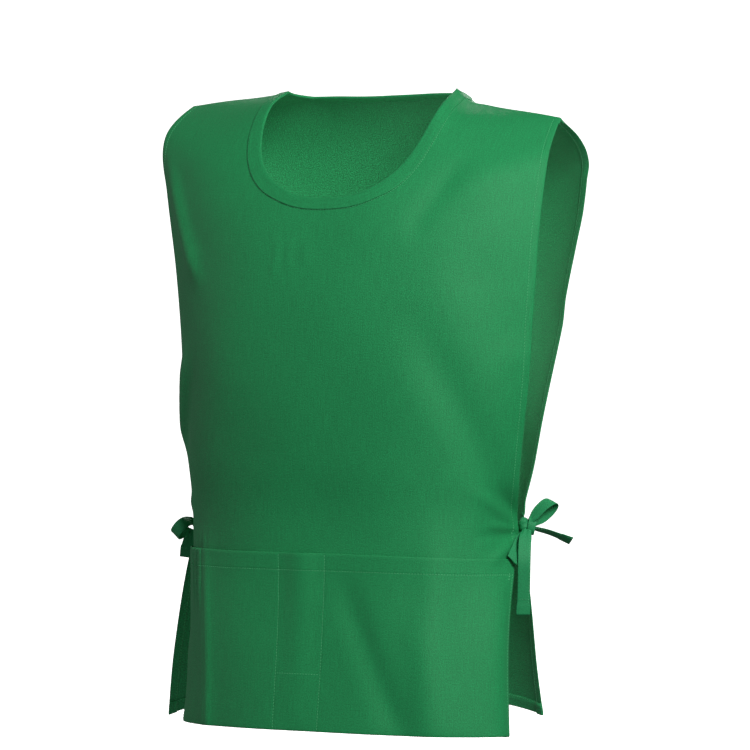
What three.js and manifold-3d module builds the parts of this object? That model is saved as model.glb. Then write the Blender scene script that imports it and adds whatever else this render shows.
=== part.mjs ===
// Cobbler apron, as worn: a front and a back panel joined at the shoulders,
// banded neckline, open sides closed by a cloth tie bow at each side of the
// waist, and a stitched pocket across the lower front.
//
// Millimetres, +Z up. The front faces -Y and the wearer's left is +X. The
// origin is midway between the two points where shoulder seam and neckline
// meet, which is where the apron hangs from the shoulders.
//
// The cloth is described flat and then draped. A point of a panel is named by
// `across` (from the centre line, + to the wearer's left) and `down` (from the
// neck point, along the cloth). Each row of a drape table is one level cut
// through the hanging cloth: its curve keeps the length of the cloth and only
// turns, more and more, from the centre towards each side edge.

import * as THREE from 'three';
import { mergeVertices } from 'three/addons/utils/BufferGeometryUtils.js';
import Module from 'manifold-3d';

const wasm = await Module();
wasm.setup();

// Driving dimensions

const PANEL_LENGTH = 711; // neck point to hem, along the cloth
const PANEL_WIDTH = 456; // side edge to side edge, flat
const CHEST_DEPTH = 140; // origin forward to the fullest part of the front
const BACK_DEPTH = 120; // origin back to the fullest part of the back
const SHOULDER_DROP = 50; // slope of the flat shoulder seam
const NECK_WIDTH = 194; // opening between the two neck points
const FRONT_NECK_DEPTH = 184; // neck points to the bottom of the front scoop, flat
const BACK_NECK_DEPTH = 58;
const CLOTH = 1.2; // panel wall
const BAND_WIDTH = 12.7;
const BAND_CLOTH = 0.9;
const POCKET_HEIGHT = 175.5;
const POCKET_CLOTH = 1.1;
const POCKET_GAPE = 11; // how far the wide compartments stand open at the top
const PENCIL_POCKET_WIDTH = 51;
const TIE_DROP = 503; // neck point to the ties, along the cloth
const TIE_WIDTH = 13;
const TIE_CLOTH = 1;
const KNOT_WIDTH = 11.5;
const KNOT_HEIGHT = 16;
const LOOP_LENGTH = 30;
const LONG_TAIL_LENGTH = 90;
const SHORT_TAIL_LENGTH = 46;
const BOW_TURN = 25; // bows face this many degrees off the front, to the wearer's left

const CLEARANCE = 0.3; // between neighbouring pieces
const TURN_GROWTH = 1.7; // how late across the panel the turning comes
const FRONT_NECK_SQUARENESS = 2.6; // 2 is an ellipse
const BACK_NECK_SQUARENESS = 2.3;

const HALF_WIDTH = PANEL_WIDTH / 2;
const NECK_HALF = NECK_WIDTH / 2;
const POCKET_TOP = PANEL_LENGTH - POCKET_HEIGHT;

// Drape tables

// down, falls: shares of the panel length.  shift: share of the half width.
// depth: share of the chest or back depth.  turn: degrees turned at that side
// edge.  reach: share of the half width left after small gathers.
const DRAPE_COLUMNS = ['down', 'shift', 'depth', 'leftTurn', 'leftReach',
  'rightTurn', 'rightReach', 'middleFall', 'leftFall', 'rightFall'];

const FRONT_DRAPE = [
  [0.000, 0.018, 0.064, 32.3, 0.946, 28.2, 0.956, 0.004, 0.021, 0.008],
  [0.070, 0.018, 0.386, 41.3, 0.973, 38.5, 1.002, 0.034, 0.049, 0.014],
  [0.141, 0.018, 0.614, 39.1, 0.969, 35.6, 1.059, 0.086, 0.101, 0.058],
  [0.231, 0.018, 0.836, 43.2, 0.983, 48.5, 1.062, 0.158, 0.181, 0.143],
  [0.352, 0.018, 0.971, 50.0, 0.991, 60.8, 1.043, 0.271, 0.302, 0.262],
  [0.492, 0.018, 1.000, 59.4, 0.977, 65.6, 1.025, 0.412, 0.442, 0.401],
  [0.619, 0.018, 0.943, 70.0, 0.945, 68.3, 1.050, 0.537, 0.564, 0.530],
  [0.703, 0.020, 0.886, 72.0, 0.922, 68.0, 1.055, 0.620, 0.637, 0.615],
  [0.759, 0.022, 0.879, 72.0, 0.904, 64.8, 1.037, 0.675, 0.684, 0.677],
  [0.900, 0.018, 0.929, 57.7, 0.887, 60.2, 0.991, 0.816, 0.819, 0.821],
  [1.000, 0.009, 0.971, 55.3, 0.908, 61.4, 0.986, 0.920, 0.924, 0.928],
];

const BACK_DRAPE = [
  [0.000, 0.000, 0.033, 24.6, 0.950, 24.6, 0.950, -0.011, 0.021, 0.008],
  [0.070, 0.000, 0.417, 34.0, 0.963, 35.1, 0.975, 0.006, 0.046, 0.014],
  [0.141, 0.000, 0.700, 26.4, 0.993, 34.2, 0.978, 0.056, 0.093, 0.062],
  [0.231, 0.000, 0.900, 32.8, 0.974, 40.3, 0.979, 0.135, 0.174, 0.143],
  [0.352, 0.000, 0.983, 45.3, 0.942, 48.1, 0.951, 0.250, 0.290, 0.262],
  [0.492, 0.000, 0.900, 50.0, 0.876, 48.1, 0.922, 0.387, 0.422, 0.401],
  [0.619, 0.000, 0.767, 58.0, 0.862, 54.2, 0.962, 0.512, 0.543, 0.530],
  [0.703, -0.013, 0.683, 58.3, 0.855, 57.9, 0.986, 0.596, 0.619, 0.615],
  [0.788, -0.035, 0.667, 54.0, 0.866, 58.4, 1.036, 0.681, 0.703, 0.706],
  [0.900, -0.070, 0.667, 38.2, 0.863, 63.9, 1.073, 0.793, 0.813, 0.827],
  [1.000, -0.096, 0.683, 28.0, 0.888, 70.9, 1.094, 0.892, 0.911, 0.928],
];

// The shoulder seam as it lies in space.  along: share of the seam from neck
// point to tip.  out: the same share, measured sideways.  back, fall: shares
// of the shoulder drop.
const SEAM_COLUMNS = ['along', 'back', 'leftOut', 'leftFall', 'rightOut', 'rightFall'];

const SHOULDER_SEAM = [
  [-0.30, 0.08, -0.167, -0.16, -0.155, -0.14],
  [0.00, 0.00, 0.000, 0.01, 0.000, -0.06],
  [0.12, 0.00, 0.105, 0.24, 0.112, -0.02],
  [0.30, 0.02, 0.307, 0.36, 0.302, 0.03],
  [0.60, 0.04, 0.632, 0.50, 0.621, 0.09],
  [1.00, 0.06, 1.000, 0.68, 1.000, 0.17],
];
const LEFT_TIP = 0.925; // shoulder tip, share of the half width
const RIGHT_TIP = 0.934;
const SEAM_FADE = 0.155; // share of the length over which the seam's pull fades

// Broad folds of the front, as ridges (+) and troughs (-) from one point of
// the cloth to another.  across: share of the half width.  down: share of the
// length.  spread, rise: shares of the chest depth.
const FOLD_COLUMNS = ['fromAcross', 'fromDown', 'toAcross', 'toDown', 'spread', 'rise'];

const FRONT_FOLDS = [
  [0.38, 0.370, 0.96, 0.690, 0.17, -0.036],
  [0.52, 0.230, 1.00, 0.150, 0.17, 0.022],
  [-1.02, 0.140, -0.70, 0.350, 0.11, 0.030],
  [-0.78, 0.430, -0.98, 0.600, 0.11, 0.030],
  [0.56, 0.660, 0.56, 1.020, 0.14, 0.028],
  [-0.70, 0.690, -0.67, 1.020, 0.10, 0.034],
];

const BACK_FOLDS = [
  [-0.45, 0.420, -0.92, 0.690, 0.18, 0.030],
  [0.40, 0.450, 0.90, 0.690, 0.18, 0.030],
  [0.30, 0.720, 0.34, 1.020, 0.16, 0.034],
  [-0.36, 0.740, -0.42, 1.020, 0.16, 0.030],
];

// How each tie draws the panel edges together: moves of the edge at the tie,
// as shares of the tie width, fading over spread (share of the tie width).
const TIE_PULL_SPREAD = 2.6;
const TIE_PULLS = {
  front: { left: { inward: 0.6, across: 1.75 }, right: { inward: 0.15, across: 0.5 } },
  back: { left: { inward: 0.1, across: -1.0 }, right: { inward: 0.1, across: -0.4 } },
};

// Small helpers

/** Turn the rows of a table into objects with named columns. */
function named(columns, rows) {
  return rows.map((row) => Object.fromEntries(columns.map((name, i) => [name, row[i]])));
}

/** Smooth curve through one column of a table, straight beyond its ends. */
function follow(rows, key, value, at) {
  const slope = rows.slice(1).map((row, i) => (row[value] - rows[i][value]) / (row[key] - rows[i][key]));
  const tangent = rows.map((row, i) => {
    if (i === 0) return slope[0];
    if (i === rows.length - 1) return slope[i - 1];
    const before = row[key] - rows[i - 1][key];
    const after = rows[i + 1][key] - row[key];
    return (slope[i - 1] * after + slope[i] * before) / (before + after);
  });
  const last = rows.length - 1;
  if (at <= rows[0][key]) return rows[0][value] + (at - rows[0][key]) * tangent[0];
  if (at >= rows[last][key]) return rows[last][value] + (at - rows[last][key]) * tangent[last];
  let i = 0;
  while (at > rows[i + 1][key]) i += 1;
  const span = rows[i + 1][key] - rows[i][key];
  const t = (at - rows[i][key]) / span;
  return (2 * t ** 3 - 3 * t ** 2 + 1) * rows[i][value] + (t ** 3 - 2 * t ** 2 + t) * span * tangent[i]
    + (3 * t ** 2 - 2 * t ** 3) * rows[i + 1][value] + (t ** 3 - t ** 2) * span * tangent[i + 1];
}

/** 1 at zero, falling smoothly to 0 at one. */
function fade(x) {
  const t = Math.min(Math.max(x, 0), 1);
  return (1 - t) ** 2 * (1 + 2 * t);
}

/** Numbers from first to last in equal steps no longer than step. */
function evenly(first, last, step) {
  const count = Math.max(1, Math.ceil((last - first) / step));
  return Array.from({ length: count + 1 }, (_, i) => first + ((last - first) * i) / count);
}

/** Rising list of numbers through all the stops, in steps no longer than step. */
function through(stops, step) {
  const list = [stops[0]];
  for (let i = 1; i < stops.length; i += 1) list.push(...evenly(stops[i - 1], stops[i], step).slice(1));
  return list;
}

// The draped cloth

const seamRows = named(SEAM_COLUMNS, SHOULDER_SEAM);

/** How far down the flat cloth the shoulder seam lies at this distance across. */
function seamDown(across) {
  const share = (Math.abs(across) - NECK_HALF) / (HALF_WIDTH - NECK_HALF);
  return SHOULDER_DROP * Math.max(share, -0.3);
}

/** Point of the shoulder seam in space. */
function seamPoint(across) {
  const left = across >= 0;
  const along = (Math.abs(across) - NECK_HALF) / (HALF_WIDTH - NECK_HALF);
  const out = follow(seamRows, 'along', left ? 'leftOut' : 'rightOut', along);
  const tip = HALF_WIDTH * (left ? LEFT_TIP : RIGHT_TIP);
  const x = NECK_HALF + out * (tip - NECK_HALF);
  return new THREE.Vector3(
    left ? x : -x,
    SHOULDER_DROP * follow(seamRows, 'along', 'back', along),
    -SHOULDER_DROP * follow(seamRows, 'along', left ? 'leftFall' : 'rightFall', along),
  );
}

/** A panel: its drape table, folds, depth and the way it faces (-1 front, 1 back). */
function panel(drape, folds, depth, facing, pulls) {
  return {
    rows: named(DRAPE_COLUMNS, drape),
    folds: named(FOLD_COLUMNS, folds),
    depth,
    facing,
    pulls,
  };
}

/** Cloth point from the drape table alone. */
function hang(cloth, across, down) {
  const level = down / PANEL_LENGTH;
  const value = (column) => follow(cloth.rows, 'down', column, level);
  const left = across >= 0;
  const share = Math.abs(across) / HALF_WIDTH;
  const turn = THREE.MathUtils.degToRad(value(left ? 'leftTurn' : 'rightTurn'));
  const reach = HALF_WIDTH * value(left ? 'leftReach' : 'rightReach');
  const steps = 12;
  let outward = 0;
  let inward = 0;
  for (let i = 0; i < steps; i += 1) {
    const angle = turn * (share * (i + 0.5) / steps) ** TURN_GROWTH;
    outward += Math.cos(angle) * share / steps;
    inward += Math.sin(angle) * share / steps;
  }
  const middle = value('middleFall');
  const edge = value(left ? 'leftFall' : 'rightFall');
  return new THREE.Vector3(
    HALF_WIDTH * value('shift') + (left ? 1 : -1) * reach * outward,
    cloth.facing * (cloth.depth * value('depth') - reach * inward),
    -PANEL_LENGTH * (middle + (edge - middle) * share ** 2),
  );
}

/** Cloth point drawn up to the shoulder seam and in by the ties. */
function drawn(cloth, across, down) {
  const point = hang(cloth, across, down);
  const inner = 0.8 * NECK_HALF;
  const nearest = Math.sign(across || 1) * Math.max(Math.abs(across), inner);
  const seam = seamDown(nearest);
  const strength = fade((down - seam) / (SEAM_FADE * PANEL_LENGTH)) * Math.min(Math.abs(across) / inner, 1) ** 2;
  point.addScaledVector(seamPoint(nearest).sub(hang(cloth, nearest, seam)), strength);

  const side = across >= 0 ? 'left' : 'right';
  const reach = TIE_PULL_SPREAD * TIE_WIDTH;
  const away = Math.hypot(HALF_WIDTH - Math.abs(across), 0.8 * (down - TIE_DROP)) / reach;
  const pull = TIE_WIDTH * Math.exp(-(away ** 2));
  point.x -= Math.sign(across) * cloth.pulls[side].inward * pull;
  point.y += cloth.pulls[side].across * pull;
  return point;
}

/** Outward direction of a surface given as a function of across and down. */
function outwardOf(surface, facing, across, down) {
  const h = 1.5;
  const alongAcross = surface(across + h, down).sub(surface(across - h, down));
  const alongDown = surface(across, down + h).sub(surface(across, down - h));
  return alongDown.cross(alongAcross).multiplyScalar(-facing).normalize();
}

/** Height of all the folds at a point of the cloth. */
function foldHeight(cloth, across, down) {
  let height = 0;
  for (const fold of cloth.folds) {
    const from = new THREE.Vector2(fold.fromAcross * HALF_WIDTH, fold.fromDown * PANEL_LENGTH);
    const way = new THREE.Vector2(fold.toAcross * HALF_WIDTH, fold.toDown * PANEL_LENGTH).sub(from);
    const here = new THREE.Vector2(across, down).sub(from);
    const along = here.dot(way) / way.lengthSq();
    const beside = Math.abs(here.cross(way)) / way.length() / (fold.spread * cloth.depth);
    if (along > 0 && along < 1.2 && beside < 3) {
      const ends = 1 - fade(along / 0.45);
      height += fold.rise * cloth.depth * Math.exp(-(beside ** 2)) * ends * fade((along - 0.9) / 0.3);
    }
  }
  return height;
}

/** Finished point of the cloth's outer face. */
function drape(cloth, across, down) {
  const plain = (a, d) => drawn(cloth, a, d);
  const point = plain(across, down);
  const height = foldHeight(cloth, across, down);
  if (height !== 0) point.addScaledVector(outwardOf(plain, cloth.facing, across, down), height);
  return point;
}

/** Direction of the cloth's thickness: square to the cloth, but shared by both panels at the seam. */
function thicknessWay(cloth, across, down) {
  const own = outwardOf((a, d) => drape(cloth, a, d), cloth.facing, across, down);
  const above = new THREE.Vector3(0, 0, 1);
  return own.lerp(above, fade((down - seamDown(across)) / (0.5 * SHOULDER_DROP))).normalize();
}

// Solids

/** Mesh geometry from corner points and triangles. */
function solidOf(points, triangles) {
  const geometry = new THREE.BufferGeometry();
  geometry.setAttribute('position', new THREE.Float32BufferAttribute(points.flatMap((p) => p.toArray()), 3));
  geometry.setIndex(triangles);
  return geometry;
}

/** Closed wall between two grids of points, the first one on the outside. */
function wall(outer, inner) {
  const rows = outer.length;
  const columns = outer[0].length;
  const points = [...outer.flat(), ...inner.flat()];
  const triangles = [];
  const at = (layer, r, c) => layer * rows * columns + r * columns + c;
  const quad = (a, b, c, d) => triangles.push(a, b, c, a, c, d);
  for (let r = 0; r + 1 < rows; r += 1) {
    for (let c = 0; c + 1 < columns; c += 1) {
      quad(at(0, r, c), at(0, r + 1, c), at(0, r + 1, c + 1), at(0, r, c + 1));
      triangles.push(at(1, r, c), at(1, r + 1, c + 1), at(1, r + 1, c), at(1, r, c), at(1, r, c + 1), at(1, r + 1, c + 1));
    }
  }
  for (let r = 0; r + 1 < rows; r += 1) {
    quad(at(0, r, 0), at(1, r, 0), at(1, r + 1, 0), at(0, r + 1, 0));
    quad(at(0, r + 1, columns - 1), at(1, r + 1, columns - 1), at(1, r, columns - 1), at(0, r, columns - 1));
  }
  for (let c = 0; c + 1 < columns; c += 1) {
    quad(at(0, 0, c + 1), at(1, 0, c + 1), at(1, 0, c), at(0, 0, c));
    quad(at(0, rows - 1, c), at(1, rows - 1, c), at(1, rows - 1, c + 1), at(0, rows - 1, c + 1));
  }
  return solidOf(points, triangles);
}

/** Cloth wall over the given columns and rows, from one height over the cloth to another. */
function clothWall(cloth, columns, rows, from, to) {
  const order = cloth.facing < 0 ? columns : [...columns].reverse();
  const grid = (height) => rows.map((row) => order.map((across) => {
    const down = row + seamDown(across) * Math.max(1 - row / (0.45 * PANEL_LENGTH), 0);
    return drape(cloth, across, down).addScaledVector(thicknessWay(cloth, across, down), height(across, down));
  }));
  return wall(grid(to), grid(from));
}

/** Solid that fills a neckline of this half width and depth, well through the cloth. */
function neckFill(cloth, halfWidth, depth, squareness) {
  const through3 = 9;
  const sides = evenly(-90, 90, 3.75).map((angle) => Math.sin(THREE.MathUtils.degToRad(angle)));
  const order = cloth.facing < 0 ? sides : [...sides].reverse();
  const levels = evenly(0, 1, 1 / 14);
  const above = 0.4 * SHOULDER_DROP;
  const grid = (height) => levels.map((level) => order.map((side) => {
    const across = halfWidth * side;
    const bottom = depth * Math.max(1 - Math.abs(side) ** squareness, 0) ** (1 / squareness);
    const down = seamDown(across) - above + level * (bottom + above);
    return drape(cloth, across, down).addScaledVector(thicknessWay(cloth, across, down), height);
  }));
  return wall(grid(through3), grid(-through3));
}

/** A manifold solid from a closed geometry. */
function toManifold(geometry) {
  const bare = geometry.clone();
  bare.deleteAttribute('normal');
  bare.deleteAttribute('uv');
  const merged = mergeVertices(bare, 1e-4);
  return new wasm.Manifold(new wasm.Mesh({
    numProp: 3,
    vertProperties: new Float32Array(merged.attributes.position.array),
    triVerts: new Uint32Array(merged.index.array),
  }));
}

/** Geometry from a manifold solid. */
function fromManifold(solid) {
  const { vertProperties, triVerts } = solid.getMesh();
  const geometry = new THREE.BufferGeometry();
  geometry.setAttribute('position', new THREE.BufferAttribute(vertProperties, 3));
  geometry.setIndex(new THREE.BufferAttribute(triVerts, 1));
  return geometry;
}

/** Wall of the tie cloth through rows of two points, its two side edges. */
function strip(rows) {
  const grid = (height) => rows.map((row, i) => {
    const next = rows[Math.min(i + 1, rows.length - 1)];
    const before = rows[Math.max(i - 1, 0)];
    const along = next[0].clone().add(next[1]).sub(before[0]).sub(before[1]);
    const thick = row[1].clone().sub(row[0]).cross(along).normalize();
    return row.map((point) => point.clone().addScaledVector(thick, height));
  });
  return wall(grid(-TIE_CLOTH / 2), grid(TIE_CLOTH / 2));
}

/** Ribbon of the tie cloth along a path; widthWay(i) is the way its width lies. */
function ribbon(path, widthWay, width = TIE_WIDTH) {
  return strip(path.map((point, i) => {
    const along = path[Math.min(i + 1, path.length - 1)].clone().sub(path[Math.max(i - 1, 0)]).normalize();
    const wide = widthWay(i / (path.length - 1)).clone();
    wide.addScaledVector(along, -wide.dot(along)).normalize();
    return [-0.5, 0.5].map((share) => point.clone().addScaledVector(wide, share * width));
  }));
}

// Pieces

const front = panel(FRONT_DRAPE, FRONT_FOLDS, CHEST_DEPTH, -1, TIE_PULLS.front);
const back = panel(BACK_DRAPE, BACK_FOLDS, BACK_DEPTH, 1, TIE_PULLS.back);

const seamAllowance = CLEARANCE / 2;
const columns = through([-HALF_WIDTH, -PENCIL_POCKET_WIDTH, 0, HALF_WIDTH], 0.081 * HALF_WIDTH);
const upperRows = through([seamAllowance, TIE_DROP, POCKET_TOP], 0.033 * PANEL_LENGTH);
const pocketRows = evenly(POCKET_TOP, PANEL_LENGTH, 0.17 * POCKET_HEIGHT);

/** Panel with its neckline cut out. */
function neckedPanel(cloth, neckDepth, squareness) {
  const rows = [...upperRows, ...pocketRows.slice(1)];
  const whole = toManifold(clothWall(cloth, columns, rows, () => -CLOTH, () => 0));
  return fromManifold(whole.subtract(toManifold(neckFill(cloth, NECK_HALF, neckDepth, squareness))));
}

/** Band lying on the panel round its neckline. */
function neckBand(cloth, neckDepth, squareness) {
  const nearNeck = columns.filter((across) => Math.abs(across) < NECK_HALF + 3 * BAND_WIDTH);
  const rows = upperRows.filter((row) => row < neckDepth + 3 * BAND_WIDTH);
  const layer = toManifold(clothWall(cloth, nearNeck, rows, () => CLEARANCE, () => CLEARANCE + BAND_CLOTH));
  const outside = toManifold(neckFill(cloth, NECK_HALF + BAND_WIDTH, neckDepth + BAND_WIDTH, squareness));
  const inside = toManifold(neckFill(cloth, NECK_HALF, neckDepth, squareness));
  return fromManifold(layer.intersect(outside).subtract(inside));
}

/** How far the pocket stands off the front at a point of the cloth. */
function pocketGape(across, down) {
  const stops = [-HALF_WIDTH, -PENCIL_POCKET_WIDTH, 0, HALF_WIDTH];
  const i = across < stops[1] ? 0 : across < stops[2] ? 1 : 2;
  const share = (across - stops[i]) / (stops[i + 1] - stops[i]);
  const depth = i === 1 ? 0.75 * POCKET_GAPE : POCKET_GAPE;
  const open = Math.max((PANEL_LENGTH - down) / POCKET_HEIGHT, 0);
  return CLEARANCE + depth * Math.sin(Math.PI * share) ** 2 * open ** 0.6;
}

const pocket = clothWall(front, columns, pocketRows, pocketGape, (a, d) => pocketGape(a, d) + POCKET_CLOTH);

/** Bow at one side: straps to both panels, knot, two loops and two tails. */
function bow(side) {
  const left = side === 'left';
  const sign = left ? 1 : -1;
  const turn = THREE.MathUtils.degToRad(BOW_TURN);
  const out = new THREE.Vector3(Math.cos(turn), Math.sin(turn), 0).multiplyScalar(sign);
  const up = new THREE.Vector3(0, 0, 1);
  const fore = new THREE.Vector3(Math.sin(turn), -Math.cos(turn), 0);
  const mix = (o, u, f) => out.clone().multiplyScalar(o).addScaledVector(up, u).addScaledVector(fore, f);

  // Middle of the cloth's wall, just off a panel's side edge.
  const offEdge = (cloth, down) => {
    const across = sign * (HALF_WIDTH + 2 * CLEARANCE);
    return drape(cloth, across, down).addScaledVector(thicknessWay(cloth, across, down), -CLOTH / 2);
  };
  const knotAt = offEdge(front, TIE_DROP).lerp(offEdge(back, TIE_DROP), left ? 0.2 : 0.5)
    .add(new THREE.Vector3(sign * (left ? 0.62 : 0.5) * TIE_WIDTH, 0, (left ? 0.15 : -1.1) * TIE_WIDTH));

  const knot = new THREE.SphereGeometry(0.5, 12, 8);
  knot.scale(KNOT_WIDTH, KNOT_WIDTH, KNOT_HEIGHT);
  /** Distance from the knot's middle to just off its surface, level with the given fore. */
  const offKnot = (lie, foreShare) => Math.hypot(KNOT_WIDTH * Math.cos(lie), KNOT_HEIGHT * Math.sin(lie)) / 2
    * Math.sqrt(1 - foreShare ** 2) + CLEARANCE;

  // angle: from straight out, in the bow's plane.  belly: how far the loop
  // gapes.  base: where on the knot it starts, 1 at the very front.  forward:
  // how far it stands off to the fore.  roll: 0 shows the face of the ribbon,
  // 90 the hole of the loop.  yaw: turns it from the bow's plane to the fore.
  // slant: how much the fold at its end leans back towards the knot.
  const loop = ({ angle, length, belly, base = 0, forward = 0, roll = 0, yaw = 0, slant = 0 }) => {
    const [lie, tilt, aside] = [angle, roll, yaw].map(THREE.MathUtils.degToRad);
    const reach = mix(Math.cos(lie) * Math.cos(aside), Math.sin(lie), Math.cos(lie) * Math.sin(aside));
    const lift = mix(-Math.sin(lie) * Math.cos(aside), Math.cos(lie), -Math.sin(lie) * Math.sin(aside));
    const level = mix(-Math.sin(aside), 0, Math.cos(aside));
    const wide = lift.clone().multiplyScalar(Math.cos(tilt)).addScaledVector(level, -Math.sin(tilt));
    const gaping = lift.clone().multiplyScalar(Math.sin(tilt)).addScaledVector(level, Math.cos(tilt));
    const start = offKnot(lie, 0.8 * base) + TIE_CLOTH / 2;
    return ribbon(evenly(0, 1, 1 / 14).map((t) => {
      const round = Math.sin(Math.PI * t);
      return knotAt.clone()
        .addScaledVector(reach, start + (length - start) * round ** 0.9)
        .addScaledVector(gaping, belly * Math.cos(Math.PI * t) * (0.35 + 0.65 * round))
        .addScaledVector(fore, base * KNOT_WIDTH / 2 + forward * round);
    }), (t) => wide.clone().addScaledVector(reach, slant * Math.sin(Math.PI * t) ** 4));
  };

  const tail = (points, wideAt) => {
    const curve = new THREE.CatmullRomCurve3(points.map(([o, u, f]) => knotAt.clone().add(mix(o, u, f))));
    return ribbon(curve.getPoints(10), wideAt);
  };

  const strap = (cloth, away) => {
    const half = 0.42 * TIE_WIDTH;
    const start = [-1, 1].map((end) => offEdge(cloth, TIE_DROP + end * half));
    const level = start[0].clone().lerp(start[1], 0.5).sub(knotAt).setZ(0).normalize();
    const end = knotAt.clone().addScaledVector(level, KNOT_WIDTH / 2 + CLEARANCE + TIE_CLOTH / 2)
      .addScaledVector(up, away * KNOT_HEIGHT);
    const finish = [1, -1].map((e) => end.clone().addScaledVector(up, e * 0.3 * KNOT_HEIGHT));
    return strip([0, 0.5, 1].map((t) => start.map((point, i) => point.clone().lerp(finish[i], t))));
  };

  const knotRadius = KNOT_WIDTH / 2;
  const pieces = left ? {
    upper_loop: loop({ angle: 45, length: 1.07 * LOOP_LENGTH, belly: 0.75 * TIE_WIDTH, roll: 35, slant: -0.33 }),
    lower_loop: loop({ angle: 243, length: 1.07 * LOOP_LENGTH, belly: 0.25 * TIE_WIDTH, base: 0.1, forward: 1.85 * TIE_WIDTH, roll: 40, slant: 0.4 }),
    long_tail: tail([
      [0.05 * TIE_WIDTH, -0.1 * KNOT_HEIGHT, 1.2 * knotRadius],
      [-0.1 * TIE_WIDTH, -0.14 * LONG_TAIL_LENGTH, 1.3 * TIE_WIDTH],
      [-0.15 * TIE_WIDTH, -0.34 * LONG_TAIL_LENGTH, 1.9 * TIE_WIDTH],
      [-0.2 * TIE_WIDTH, -0.6 * LONG_TAIL_LENGTH, 1.7 * TIE_WIDTH],
      [-0.3 * TIE_WIDTH, -LONG_TAIL_LENGTH, 1.2 * TIE_WIDTH],
    ], () => mix(1, 0, -0.15)),
    short_tail: tail([
      [0.75 * knotRadius, -0.1 * knotRadius, -0.9 * knotRadius],
      [0.5 * SHORT_TAIL_LENGTH, -0.12 * SHORT_TAIL_LENGTH, -0.95 * TIE_WIDTH],
      [SHORT_TAIL_LENGTH, -0.32 * SHORT_TAIL_LENGTH, -1.1 * TIE_WIDTH],
    ], (t) => mix(0, 0.3 + 0.9 * t, 1 - 0.35 * t)),
  } : {
    upper_loop: loop({ angle: -12, length: LOOP_LENGTH, belly: 1.5 * TIE_WIDTH, roll: 88, yaw: 52 }),
    lower_loop: loop({ angle: 190, length: LOOP_LENGTH, belly: 0.3 * TIE_WIDTH }),
    long_tail: tail([
      [-0.1 * TIE_WIDTH, -0.5 * KNOT_HEIGHT - CLEARANCE, -0.1 * TIE_WIDTH],
      [-0.2 * TIE_WIDTH, -0.4 * LONG_TAIL_LENGTH, 0],
      [-0.3 * TIE_WIDTH, -LONG_TAIL_LENGTH, 0],
    ], () => mix(1, 0, 0)),
    short_tail: tail([
      [0.1 * knotRadius, -0.5 * KNOT_HEIGHT, 0.5 * knotRadius],
      [1.6 * knotRadius, -0.5 * SHORT_TAIL_LENGTH, 0.6 * knotRadius],
      [2.0 * knotRadius, -0.74 * SHORT_TAIL_LENGTH, 0.6 * knotRadius],
    ], () => mix(1, 0, -0.6)),
  };
  return { knotAt, pieces: { front_strap: strap(front, 0), back_strap: strap(back, 0), ...pieces, knot } };
}

// The scene graph

const GREEN = 0x2b8357;
const SHADED_GREEN = 0x1f663d;

/** Named mesh with its own cloth material. */
function piece(name, geometry, color) {
  const material = new THREE.MeshStandardMaterial({ color, roughness: 0.85, metalness: 0 });
  const mesh = new THREE.Mesh(geometry, material);
  mesh.name = name;
  return mesh;
}

const apron = new THREE.Group();
apron.name = 'cobbler_apron';
apron.add(
  piece('front_panel', neckedPanel(front, FRONT_NECK_DEPTH, FRONT_NECK_SQUARENESS), GREEN),
  piece('back_panel', neckedPanel(back, BACK_NECK_DEPTH, BACK_NECK_SQUARENESS), SHADED_GREEN),
  piece('front_neck_band', neckBand(front, FRONT_NECK_DEPTH, FRONT_NECK_SQUARENESS), GREEN),
  piece('back_neck_band', neckBand(back, BACK_NECK_DEPTH, BACK_NECK_SQUARENESS), GREEN),
  piece('front_pocket', pocket, GREEN),
);

for (const side of ['left', 'right']) {
  const { knotAt, pieces } = bow(side);
  const group = new THREE.Group();
  for (const [name, geometry] of Object.entries(pieces)) {
    const mesh = piece(`${side}_bow_${name}`, geometry, GREEN);
    if (name === 'knot') mesh.position.copy(knotAt);
    group.add(mesh);
  }
  apron.add(group);
}

export default apron;
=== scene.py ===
"""Cobbler apron, as worn: green poplin panels, banded neck, stitched pocket and tie bows.

The cloth is described flat and then draped, by the solids' tables with finer creases.
`across` runs from the centre line, + to the wearer's left, and `down` from the
neck point along the cloth, both in millimetres. Meshes are in metres, +Z up,
with the front facing -Y.
"""

from __future__ import annotations

import logging
import math
from dataclasses import dataclass, field
from enum import Enum
from typing import Callable, Sequence

import bpy
import numpy as np
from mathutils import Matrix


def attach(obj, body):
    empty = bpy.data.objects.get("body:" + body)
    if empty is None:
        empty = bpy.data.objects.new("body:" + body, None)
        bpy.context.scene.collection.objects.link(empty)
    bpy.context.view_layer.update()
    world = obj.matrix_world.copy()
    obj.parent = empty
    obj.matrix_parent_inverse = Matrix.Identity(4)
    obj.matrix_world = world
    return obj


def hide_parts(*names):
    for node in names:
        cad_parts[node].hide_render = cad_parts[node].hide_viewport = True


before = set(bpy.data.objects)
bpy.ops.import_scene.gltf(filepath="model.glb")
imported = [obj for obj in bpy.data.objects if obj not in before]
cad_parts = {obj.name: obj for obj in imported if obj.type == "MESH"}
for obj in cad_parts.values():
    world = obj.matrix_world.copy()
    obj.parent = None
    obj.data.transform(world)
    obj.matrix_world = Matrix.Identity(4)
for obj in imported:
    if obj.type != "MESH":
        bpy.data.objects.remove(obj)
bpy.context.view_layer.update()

log = logging.getLogger("cobbler_apron")
Array = np.ndarray
Piece = bpy.types.Object
Material = bpy.types.Material
Socket = bpy.types.NodeSocket
Place = tuple[float, float, float]
MM = 0.001


class Side(Enum):
    """Side of the wearer, as the sign of `across` and of X."""

    LEFT = 1
    RIGHT = -1


class Face(Enum):
    """Which way a panel faces, as the sign of Y."""

    FRONT = -1
    BACK = 1


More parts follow.
